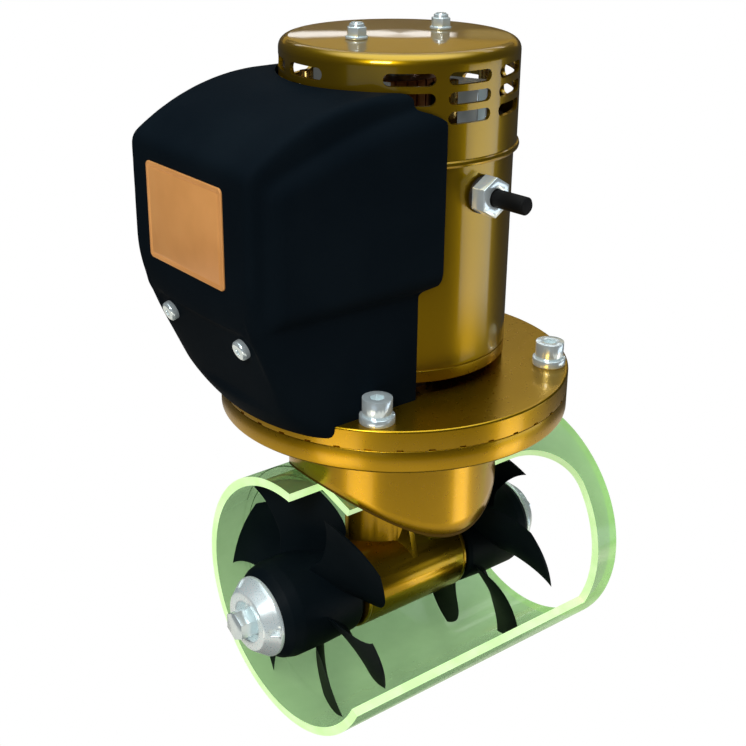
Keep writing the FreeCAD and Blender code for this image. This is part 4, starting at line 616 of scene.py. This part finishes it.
# %% The sawn tunnel
tube_low, tube_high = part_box("tunnel")
TUBE_OUT = tube_high.y / MM
TUBE_WALL = 4.5
TUBE_IN = TUBE_OUT - TUBE_WALL
TUBE_FROM, TUBE_TO = tube_low.x / MM, tube_high.x / MM
SAW_STEP, SAW_TO, SAW_ROUND = -49.0, 87.5, 30.0
SAW_LOW, SAW_HIGH, SAW_NEAR, SAW_END = 206.0, 118.0, 115.0, 96.0
SAW_NEAR_TO, SAW_POINTS = 1.0, 60


def saw_upper_angle(x):
    """The angle, in degrees, at which the wall's upper sawn edge lies for each x.

    SAW_END up to the step, SAW_NEAR up to the middle and SAW_HIGH after it. Then a circle
    of SAW_ROUND in the unrolled sheet brings the edge round towards the lower one.
    """
    along = np.clip((x - (SAW_TO - SAW_ROUND)) / SAW_ROUND, 0, 1)
    rise = SAW_ROUND * (1 - np.sqrt(1 - along ** 2))
    flat = np.where(x < SAW_NEAR_TO, SAW_NEAR, SAW_HIGH)
    return np.where(x < SAW_STEP, SAW_END, flat) + np.degrees(rise / TUBE_OUT)


def tunnel_shell():
    """Inner and outer wall from one grid, closed at the ends and along the sawn edges."""
    span = np.concatenate([
        np.linspace(TUBE_FROM, SAW_STEP - 0.01, 8),
        np.linspace(SAW_STEP + 0.01, SAW_NEAR_TO - 0.01, 12),
        np.linspace(SAW_NEAR_TO + 0.01, SAW_TO - SAW_ROUND, 15),
        SAW_TO - SAW_ROUND + SAW_ROUND * np.sin(np.linspace(0, math.pi / 2, 22)[1:])])
    around = np.linspace(0, 1, 180)
    high = saw_upper_angle(span)[:, None] + 360
    angle = np.radians(SAW_LOW + (high - SAW_LOW) * around[None, :])
    points, faces, marks = [], [], []

    def wall(radius, x, turn_of):
        bent = np.stack([x + 0 * turn_of, radius * np.cos(turn_of), radius * np.sin(turn_of)], -1)
        return bent.reshape(-1, 3)

    def add(block, block_faces, mark):
        offset = sum(len(part) for part in points)
        points.append(block)
        faces.append(block_faces + offset)
        marks.append(np.full(len(block_faces), mark))

    rows, columns = angle.shape
    x = span[:, None]
    add(wall(TUBE_OUT, x, angle), grid_faces(rows, columns), 0)
    add(wall(TUBE_IN, x, angle), grid_faces(rows, columns)[:, ::-1], 0)
    cut = np.linspace(angle[-1, -1], math.radians(SAW_LOW + 360), SAW_POINTS)
    ring_x = np.linspace(SAW_TO, TUBE_TO, 4)
    ring_angle = np.concatenate([angle[-1], cut[1:]]) + 0 * ring_x[:, None]
    ring_faces = grid_faces(*ring_angle.shape)
    add(wall(TUBE_OUT, ring_x[:, None], ring_angle), ring_faces, 0)
    add(wall(TUBE_IN, ring_x[:, None], ring_angle), ring_faces[:, ::-1], 0)

    def ribbon(outer, inner, flip):
        both = np.stack([outer, inner])
        strip = grid_faces(2, len(outer))
        add(both.reshape(-1, 3), strip[:, ::-1] if flip else strip, 1)

    # The sawn edges, mark 1, take the second finish, which carries a painted glow.
    edges = [(span, angle[:, 0], True), (span, angle[:, -1], False), (span[:1], angle[0], False),
             (np.full(SAW_POINTS, SAW_TO), cut, False), (ring_x[-1:], ring_angle[-1], True)]
    for along, edge, flip in edges:
        ribbon(wall(TUBE_OUT, along, edge), wall(TUBE_IN, along, edge), flip)
    return mesh_piece("tunnel_shell", np.concatenate(points), np.concatenate(faces),
                      [green_laminate, sawn_laminate_painted_glow], "frame", np.concatenate(marks))


tunnel_piece = merged(tunnel_shell(), 0.004)
tunnel_piece.data.set_sharp_from_angle(angle=math.radians(35))
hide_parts("tunnel")
print("tunnel faces", len(tunnel_piece.data.polygons))

# %% [markdown]
# ## Bracket and flange plate
#
# The bracket is a casting: a round neck with a thick flange on top. Its foot is shaped to
# sit on the tunnel, so the foot's edge rises and falls like a saddle. It is still a turned
# grid, only the height of its lowest rows isn't constant: at radius r and angle a it is
# the height of the tunnel's surface there, the square root of R squared less y squared,
# with y = r sin a.

# %% The neck and its flange
NECK, FLANGE = 52.5, 85.4
JOINT_Z, FLANGE_LOW, FLANGE_TOP = 108.6, 98.0, 118.6
SADDLE = TUBE_OUT + 1.0
NECK_TOP, NECK_FILLET = 93.0, 3.5


def bracket_piece():
    """Rows from the foot's middle out along the saddle, up the neck and over the flange."""
    segments = 200
    angle = np.linspace(0, 2 * math.pi, segments, endpoint=False)[None, :]
    under = np.array([0.001, 12, 24, 36, 46, 51.8, 52.3])[:, None]
    saddle = np.sqrt(SADDLE ** 2 - (under * np.sin(angle)) ** 2)
    rows = [np.stack([under * np.cos(angle), under * np.sin(angle), saddle], -1)]
    rim = np.sqrt(SADDLE ** 2 - (NECK * np.sin(angle)) ** 2) + 0.5
    share = np.linspace(0, 1, 9)[:, None]
    radius = np.full((len(share), segments), NECK)
    height = rim + (NECK_TOP - rim) * share
    rows.append(np.stack([radius * np.cos(angle), radius * np.sin(angle), height], -1))
    fillet = [(NECK + NECK_FILLET * (1 - math.cos(t)),
               FLANGE_LOW - NECK_FILLET + NECK_FILLET * math.sin(t) - 1.0)
              for t in np.linspace(0.1, math.pi / 2, 6)]
    over = rounded([(NECK + 3.6, FLANGE_LOW - 1.0, 0), (NECK + 4.6, FLANGE_LOW, 0.8),
                    (FLANGE, FLANGE_LOW, 1.1), (FLANGE, JOINT_Z, 0.35), (60, JOINT_Z, 0),
                    (0.001, JOINT_Z, 0)])
    rows.append(turned_points(np.concatenate([fillet, over]), segments))
    points = np.concatenate([part.reshape(-1, segments, 3) for part in rows])
    faces = grid_faces(len(points), segments, wrap_columns=True)
    return mesh_piece("bracket", points.reshape(-1, 3), faces, [gold_casting], "frame", sharp=50)


bracket = outward(bracket_piece())
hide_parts("saddle_bracket")
print("bracket faces", len(bracket.data.polygons))

# %% [markdown]
# The plate above it carries the motor. A low collar stands on it with two windows, through
# which the coupling can be reached. A ring of small notches runs round its lower edge. The
# windows and notches are cut with a Boolean from plain turned rings, because their sharp
# inner corners would need many extra columns in a grid.


# %% The motor's foot
def wedge(name, radius, low, high, first, last):
    """A closed slice of a disc between two angles, as a cutter."""
    angle = np.radians(np.linspace(first, last, 40))
    arc = np.stack([radius * np.cos(angle), radius * np.sin(angle)], -1)
    rim = np.concatenate([[[0.0, 0.0]], arc])
    points, faces = prism(np.c_[rim, np.full(len(rim), low)], np.c_[rim, np.full(len(rim), high)])
    return outward(mesh_piece(name, points, faces, [gold_enamel], None))


def box_points(low, high):
    """The eight corners of a box."""
    return np.array([[x, y, z] for z in (low[2], high[2]) for y in (low[1], high[1])
                     for x in (low[0], high[0])])


BOX_FACES = [(0, 2, 3, 1), (4, 5, 7, 6), (0, 1, 5, 4), (2, 6, 7, 3), (0, 4, 6, 2), (1, 3, 7, 5)]


def copies(name, points, faces, turns, lifts=0.0):
    """One cutter of many copies, each turned about Z by an angle in degrees and lifted."""
    angle = np.radians(np.asarray(turns, float))[:, None]
    x, y = spun(points[None, :, 0], points[None, :, 1], angle)
    z = points[None, :, 2] + np.broadcast_to(lifts, len(turns))[:, None]
    every = np.stack([x, y, z], -1).reshape(-1, 3)
    offsets = len(points) * np.arange(len(turns))
    faces_of = [[corner + offset for corner in face] for offset in offsets.tolist() for face in faces]
    return outward(mesh_piece(name, every, faces_of, [gold_enamel], None))


COLLAR, COLLAR_TOP, BORE, FOOT_BORE = 53.3, 132.6, 48.3, 46.5
NOTCHES, FIRST_NOTCH = 38, 5.2
WINDOW_REACH, WINDOW_TOP = 60, FLANGE_TOP + 8.5
foot = turn("motor_foot_plate", [
    (FOOT_BORE, JOINT_Z, 0.3), (FLANGE, JOINT_Z, 0.35), (FLANGE, FLANGE_TOP, 1.1), (COLLAR, FLANGE_TOP, 0),
    (COLLAR, COLLAR_TOP, 0.5), (BORE, COLLAR_TOP, 0.3), (BORE, FLANGE_TOP, 0), (FOOT_BORE, FLANGE_TOP, 0.3)],
    gold_casting, "frame", segments=240)
notch = box_points((FLANGE - 1.0, -1.5, JOINT_Z - 1), (FLANGE + 2, 1.5, JOINT_Z + 0.9))
notches = copies("notches", notch, BOX_FACES, FIRST_NOTCH + 360 / NOTCHES * np.arange(NOTCHES))
windows = [wedge("window_a", WINDOW_REACH, FLANGE_TOP, WINDOW_TOP, -122, -38),
           wedge("window_b", WINDOW_REACH, FLANGE_TOP, WINDOW_TOP, 38, 122)]
level(carve(foot, [notches] + windows))
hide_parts("motor_foot")
print("foot faces", len(foot.data.polygons))

# %% [markdown]
# ## Motor barrel and vent cap
#
# The barrel is a plain tube. The cap is pressed from sheet: a rounded crown, a bead at its
# lower edge, and rows of slots with round ends that let the cooling air through. Each slot
# is a flat outline pushed out along a radius, and all of them are cut in one step.

# %% The barrel and the cap
BARREL_TOP, CAP_TOP, CAP, SHEET = 226.0, 275.0, 54.6, 2
barrel = turn("motor_barrel", [
    (COLLAR, COLLAR_TOP, 0.5), (COLLAR, BARREL_TOP, 0.4), (BORE, BARREL_TOP, 0), (BORE, COLLAR_TOP, 0)],
    gold_enamel, "frame", segments=240)
level(barrel)
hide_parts("motor_tube")
cap = turn("vent_cap_skin", [
    (CAP - SHEET, BARREL_TOP, 0), (CAP + 0.9, BARREL_TOP, 0.5), (CAP + 1.2, BARREL_TOP + 1.2, 0.7),
    (CAP + 0.9, BARREL_TOP + 2.4, 0.5), (CAP, BARREL_TOP + 2.9, 0.5), (CAP, CAP_TOP - 0.7, 5.0),
    (36, CAP_TOP - 0.35, 0), (18, CAP_TOP - 0.08, 0), (0.002, CAP_TOP, 0), (0.002, CAP_TOP - SHEET, 0),
    (CAP - SHEET, CAP_TOP - SHEET, 3.2)], gold_enamel, "frame", segments=240, longest=6.0, steps=9)
print("barrel faces", len(barrel.data.polygons))


# %% The slots in the cap
SLOT_COLUMNS = (-207, -178, -125, -95.5, -66)
SLOT_ROWS, SLOT_LOWEST, SLOT_PITCH, SLOT_HEIGHT, SLOT_SPAN = 3, 247.5, 8.25, 5.4, 23.5
CUT_FROM, CUT_TO = 40.0, 62.0


def slot_outline(width, height, steps=9):
    """A slot with half-round ends, as points round its edge in the plane across a radius."""
    reach, r = width / 2 - height / 2, height / 2
    ends = np.linspace(-math.pi / 2, math.pi / 2, steps)
    right = np.stack([reach + r * np.cos(ends), r * np.sin(ends)], -1)
    return np.concatenate([right, -right])


def slot_cutters():
    """Every slot of the cap: three rows in five columns on each half turn."""
    edge = slot_outline(2 * CAP * math.sin(math.radians(SLOT_SPAN / 2)), SLOT_HEIGHT)
    points, faces = prism(np.c_[np.full(len(edge), CUT_FROM), edge], np.c_[np.full(len(edge), CUT_TO), edge])
    turns = [column + half for column in SLOT_COLUMNS for half in (0, 180)]
    lifts = SLOT_LOWEST + SLOT_PITCH * np.repeat(np.arange(SLOT_ROWS), len(turns))
    return copies("slot_cutters", points, faces, turns * SLOT_ROWS, lifts)


level(carve(cap, [slot_cutters()]))
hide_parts("vent_cap")
print("cap faces", len(cap.data.polygons))

# %% [markdown]
# ## The control cover
#
# The cover is a moulding with no sharp edge on it: flat faces that run into each other
# over a small radius. Such a body is easy to state as a rule and hard to draw by hand. The
# rule gives, for any point, how far it lies outside: the largest of its distances to the
# faces. Where two distances are nearly equal, a smooth maximum replaces the plain one,
# and that rounds the edge by a known radius. Rays go out from a point on the motor's side,
# one for each point of the grid, and halving finds where each ray crosses the surface.

# %% The cover's rule
COVER_FRONT, COVER_HALF = 113.7, 47.0
CHIN = np.array([-98.0, 121.0])
CHIN_UP = np.array([-15.7, 48.0]) / math.hypot(15.7, 48.0)
CHIN_OUT = np.array([-CHIN_UP[1], CHIN_UP[0]])
ARCH_MIDDLE, ARCH_RADIUS = (-47.14, 150.78), 108.42
COVER_LOW = 111.8
UPPER_CONE, LOWER_CONE = (98.5, 121, 51, 26, 57.2), (87.2, COVER_LOW, 9.5, 11, 14.5)
RECESS_HALF, RECESS_MIDDLE, RECESS_REACH, RECESS_DEPTH = 39.0, 25.8, 20.6, 4.0
RECESS_CORNER, CORNER_ACROSS, CORNER_UP = 8.0, 31.0, 12.6
PAD_LOW, PAD_FRONT, PAD_TOP, PAD_EDGE = 172.5, 104.5, 251.5, 4.5
FAN = np.array([-17.5, 0.0, 186.0])


def softest(a, b, radius):
    """The larger of a and b, rounded where they meet: adds a parabola as wide as the radius."""
    near = np.maximum(radius - np.abs(a - b), 0) / max(radius, 1e-9)
    return np.maximum(a, b) + near ** 2 * radius / 4


def cone(r, z, rule):
    """How far points lie outside a cone through (at_r, at_z): it widens by out for each up of height."""
    at_r, at_z, up, out, length = rule
    return (up * (r - at_r) - out * (z - at_z)) / length


def cover_outside(p):
    """How far points lie outside the cover, in mm; negative inside.

    The body is the smooth maximum of its faces, less a recess in the chin. The pads on
    the side walls are bodies of their own, and the cover is what lies in either.
    """
    x, y, z = p[..., 0], p[..., 1], p[..., 2]
    r = np.hypot(x, y)
    side = np.abs(y) - COVER_HALF
    front = -x - COVER_FRONT
    rise = (x - CHIN[0]) * CHIN_UP[0] + (z - CHIN[1]) * CHIN_UP[1]
    chin = (x - CHIN[0]) * CHIN_OUT[0] + (z - CHIN[1]) * CHIN_OUT[1]
    arch = np.hypot(x - ARCH_MIDDLE[0], z - ARCH_MIDDLE[1]) - ARCH_RADIUS
    arch = np.where(x > ARCH_MIDDLE[0], z - ARCH_MIDDLE[1] - ARCH_RADIUS, arch)
    body = softest(softest(front, chin, 6.0), arch, 3.2)
    body = softest(body, side, 4.5)
    body = softest(softest(body, cone(r, z, UPPER_CONE), 12.0), cone(r, z, LOWER_CONE), 5.0)
    body = softest(body, COVER_LOW - z, 2.0)
    across, up = np.abs(y), np.abs(rise - RECESS_MIDDLE)
    recess = np.maximum(across - RECESS_HALF, up - RECESS_REACH)
    corner = np.hypot(np.maximum(across - CORNER_ACROSS, 0), np.maximum(up - CORNER_UP, 0)) - RECESS_CORNER
    recess = np.where((across > CORNER_ACROSS) & (up > CORNER_UP), corner, recess)
    recess = softest(recess, -RECESS_DEPTH - chin, 2.5)
    body = softest(body, -recess, 2.5)
    proud = 50.8 + (x + 104) / 86.0 * 3.0
    top = np.minimum((z - 229.5) - (x + 104) * 0.355, 60.0)
    lean = (across - 50) * 0.6
    pad = softest(across - proud, (PAD_LOW - z) * 0.8 + lean, PAD_EDGE)
    pad = softest(pad, (-PAD_FRONT - x) * 0.8 + lean, PAD_EDGE)
    pad = softest(pad, softest(top, z - PAD_TOP, 12.0) * 0.8 + lean, PAD_EDGE)
    pad = np.maximum(pad, 41.0 - across)
    return -softest(-body, -pad, 1.6)


print("the fan's middle lies", round(-float(cover_outside(FAN)), 1), "mm inside the cover")


# %% [markdown]
# The rays fan out in rows, from straight down round the front to straight up, and in each
# row from one side wall across the front to the other. Equal steps of angle would leave
# the side walls with few points, so the steps are equal along a plain box instead.


# %% The cover's skin
COVER_ROWS, COVER_COLUMNS, COVER_WALL = 170, 250, 2.3
RAY_REACH, RAY_BOX_HALF, MARCH_STEPS, HALVINGS = 150.0, 54.0, 70, 22


def cover_rays(rows, columns):
    """Directions from the fan's middle towards even steps along a box a little larger."""
    outline = np.array([(-17.5, 108.0), (-92, 108.0), (-116, 170.0), (-116, 238.0), (-96, 252.0),
                        (-60, 262.0), (-17.5, 262.0)])
    steps = np.linalg.norm(np.diff(outline, axis=0), axis=1)
    where = np.concatenate([[0], np.cumsum(steps)])
    along = np.linspace(0, where[-1], rows)
    x, z = np.interp(along, where, outline[:, 0]), np.interp(along, where, outline[:, 1])
    depth = np.hypot(x - FAN[0], z - FAN[2])[:, None]
    share = np.linspace(-1, 1, columns)[None, :]
    walked = np.abs(share) * (depth + RAY_BOX_HALF)
    across = np.minimum(walked, RAY_BOX_HALF)
    ahead = np.where(walked > RAY_BOX_HALF, depth - (walked - RAY_BOX_HALF), depth)
    sign = np.sign(share)
    out = np.stack([(x - FAN[0])[:, None] / depth * ahead, sign * across + 0 * ahead,
                    (z - FAN[2])[:, None] / depth * ahead], -1)
    return out / np.linalg.norm(out, axis=-1, keepdims=True)


def cross_surface(rule, start, rays):
    """The first point along each ray where the rule turns positive: march, then halve."""
    near = np.zeros(rays.shape[:-1])
    far = np.full(near.shape, RAY_REACH)
    found = np.zeros(near.shape, bool)
    for k in range(1, MARCH_STEPS + 1):
        at = RAY_REACH * k / MARCH_STEPS
        out = rule(start + rays * at) > 0
        far = np.where(out & ~found, at, far)
        near = np.where(~out & ~found, at, near)
        found |= out
    for _ in range(HALVINGS):
        mid = (near + far) / 2
        out = rule(start + rays * mid[..., None]) > 0
        far, near = np.where(out, mid, far), np.where(out, near, mid)
    return start + rays * ((near + far) / 2)[..., None]


def cover_piece():
    """The outer skin and a second one a wall further in, joined round their borders."""
    rays = cover_rays(COVER_ROWS, COVER_COLUMNS)
    outer = cross_surface(cover_outside, FAN, rays)
    inner = cross_surface(lambda p: cover_outside(p) + COVER_WALL, FAN, rays)
    faces = grid_faces(COVER_ROWS, COVER_COLUMNS)
    count = COVER_ROWS * COVER_COLUMNS
    index = np.arange(count).reshape(COVER_ROWS, COVER_COLUMNS)
    border = np.concatenate([index[0, :-1], index[:-1, -1], index[-1, :0:-1], index[:0:-1, 0]])
    after = np.roll(border, -1)
    rim = np.stack([border, after, after + count, border + count], -1)
    points = np.concatenate([outer.reshape(-1, 3), inner.reshape(-1, 3)])
    every = np.concatenate([faces, faces[:, ::-1] + count, rim[:, ::-1]])
    return mesh_piece("control_cover", points, every, [black_moulding], "frame", sharp=60)


cover = outward(cover_piece())
ROOM_MIDDLE, MOTOR_ROOM, CAP_ROOM, FLANGE_ROOM = 0.01, COLLAR + 0.3, CAP + 1.5, FLANGE + 0.4
motor_room = turn("motor_room", [
    (ROOM_MIDDLE, 60, 0), (MOTOR_ROOM, 60, 0), (MOTOR_ROOM, BARREL_TOP - 1, 0), (CAP_ROOM, BARREL_TOP - 1, 0),
    (CAP_ROOM, 290, 0), (ROOM_MIDDLE, 290, 0)], gold_enamel, None)
flange_room = turn("flange_room", [
    (ROOM_MIDDLE, 90, 0), (FLANGE_ROOM, 90, 0), (FLANGE_ROOM, FLANGE_TOP, 0), (ROOM_MIDDLE, FLANGE_TOP, 0)],
    gold_enamel, None)
carve(cover, [motor_room, flange_room])
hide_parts("cover")
print("cover faces", len(cover.data.polygons))

# %% [markdown]
# ## Propellers
#
# A blade of constant pitch climbs along the shaft in step with its angle, like a screw
# thread: x = EDGE_X - pitch times angle over 360. The outline says at each radius between
# which two angles the blade lies; its edges sweep back towards the tip. Across its width
# the section is a thin lens. The grid runs once round the section and out along the
# radius, and a small cap closes the tip.

# %% Blades and hubs
BLADES, PITCH, EDGE_X, TIP, ROOT, SKEW = 6, 134.0, 60.0, 61.0, 24.8, 128.0
ROOT_THICK, TIP_THICK = 4.0, 1.2
HUB_BORE, HUB_FROM, HUB_TO, HUB_SEGMENTS = 6.0, 35.6, 81.8, 120

# share of the way from hub to tip; the angles of the trailing and the leading edge
OUTLINE = np.array([(-0.12, -0.5, 52.0), (0.04, 1.5, 55.0), (0.22, 5.8, 56.5), (0.48, 5.9, 55.5),
                    (0.70, 4.4, 48.5), (0.88, 2.2, 39.5), (1.00, 0.0, 33.5)])


def smooth_table(share, column):
    """A smooth curve through one column of the outline, by Lagrange pieces over four points."""
    known, value = OUTLINE[:, 0], OUTLINE[:, column]
    out = np.zeros_like(share)
    for k, at in enumerate(share):
        first = int(np.clip(np.searchsorted(known, at) - 2, 0, len(known) - 4))
        near, level_of = known[first:first + 4], value[first:first + 4]
        terms = [level_of[i] * np.prod([(at - near[j]) / (near[i] - near[j])
                                        for j in range(4) if j != i]) for i in range(4)]
        out[k] = sum(terms)
    return out


def blade_points(rows=34, columns=22):
    """Rows out along the radius, columns once round the lens from edge to edge and back."""
    share = np.concatenate([np.linspace(-0.12, 0.9, rows - 8), np.linspace(0.9, 1.0, 9)[1:]])
    radius = (ROOT + share * (TIP - ROOT))[:, None]
    trailing, leading = smooth_table(share, 1)[:, None], smooth_table(share, 2)[:, None]
    thick = (ROOT_THICK + np.clip(share, 0, 1) * (TIP_THICK - ROOT_THICK))[:, None]
    turn_of = np.linspace(0, 2 * math.pi, 2 * columns, endpoint=False)[None, :]
    along = (1 - np.cos(turn_of)) / 2
    side = np.sign(np.sin(turn_of)) * np.abs(np.sin(turn_of)) ** 0.8
    angle = trailing + along * (leading - trailing)
    half = side * thick * (0.18 + 0.32 * np.sin(math.pi * along))
    slope = np.arctan2(PITCH / (2 * math.pi), radius)
    axial = EDGE_X - angle * PITCH / 360.0 + half * np.cos(slope)
    turn_at = np.radians(SKEW - angle) - half * np.sin(slope) / radius
    return np.stack([axial + 0 * turn_at, radius * np.cos(turn_at), radius * np.sin(turn_at)], -1)


def propeller(name, node, half_turn):
    """Six blades on a barrel hub, turned half a turn about Z for the far end's partner."""
    blade = blade_points()
    rows, columns = blade.shape[:2]
    faces = grid_faces(rows, columns, wrap_columns=True)
    tip_low = (rows - 1) * columns
    k = np.arange(1, columns // 2 - 1)
    cap_faces = tip_low + np.stack([k, k + 1, columns - k - 1, columns - k], -1)
    ends = [[tip_low, tip_low + 1, tip_low + columns - 1],
            [tip_low + columns // 2 - 1, tip_low + columns // 2, tip_low + columns // 2 + 1]]
    flat = blade.reshape(-1, 3)
    points, every = [], []
    for number in range(BLADES):
        y, z = spun(flat[:, 1], flat[:, 2], math.radians(360 / BLADES * number))
        offset = number * len(flat)
        every += (faces + offset).tolist() + (cap_faces + offset).tolist()
        every += [[corner + offset for corner in face] for face in ends]
        points.append(np.stack([flat[:, 0], y, z], -1))
    hub_line = refined(rounded([
        (HUB_BORE, HUB_FROM, 0), (22.8, HUB_FROM, 0.8), (24.0, 37.6, 1.5), (ROOT, 54.0, 8.0),
        (ROOT, 72.0, 6.0), (23.2, 77.8, 3.0), (20.3, HUB_TO, 0.6), (HUB_BORE, HUB_TO, 0)], 6), 6.0)
    hub = turned_points(hub_line, HUB_SEGMENTS, "X")
    offset = sum(len(part) for part in points)
    every += grid_faces(len(hub_line), HUB_SEGMENTS, True, True, offset).tolist()
    points.append(hub.reshape(-1, 3))
    whole = np.concatenate(points)
    if half_turn:
        whole = whole * np.array([-1.0, -1.0, 1.0])
    thing = mesh_piece(name, whole, every, [navy_composite], "propeller_line", sharp=45)
    merged(thing, 0.002)
    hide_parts(node)
    print(name, len(thing.data.polygons), "faces")


propeller("propeller_far_blades", "propeller_far", False)
propeller("propeller_near_blades", "propeller_near", True)

# %% [markdown]
# ## The label plate
#
# A thin sheet of copper-coloured metal with round corners lies on the cover's front. It is
# left bare, with only a shallow pressed border.

# %% The bare plate
label_low, label_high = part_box("label_plate")
LABEL_CORNER = 2.2

# how far each ring lies in from the plate's edge, and how far behind its face
LABEL_RINGS = ((0, 1.1), (0, 0.25), (0.2, 0.05), (1.6, 0.0), (1.9, 0.18), (2.4, 0.18), (2.7, 0.0))


def label_piece():
    """Rounded rectangles, each a little smaller and at its own height, joined as rings."""
    middle_y, middle_z = (label_low.y + label_high.y) / 2 / MM, (label_low.z + label_high.z) / 2 / MM
    half_y, half_z = (label_high.y - label_low.y) / 2 / MM, (label_high.z - label_low.z) / 2 / MM
    face = label_low.x / MM
    rings = []
    for inset, depth in LABEL_RINGS:
        radius = LABEL_CORNER - inset * 0.5
        y, z = half_y - inset, half_z - inset
        line = rounded([(-y, -z, radius), (y, -z, radius), (y, z, radius), (-y, z, radius)], 7)
        rings.append(np.stack([np.full(len(line), face + depth), middle_y + line[:, 0],
                               middle_z + line[:, 1]], -1))
    points = np.stack(rings)
    rows, columns = points.shape[:2]
    faces = grid_faces(rows, columns, wrap_columns=True).tolist()
    faces += [list(range(columns))[::-1], list(range((rows - 1) * columns, rows * columns))]
    return mesh_piece("label_sheet", points.reshape(-1, 3), faces, [copper_label_painted_glow], "frame", sharp=30)


label = outward(label_piece())
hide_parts("label_plate")
print("label faces", len(label.data.polygons))
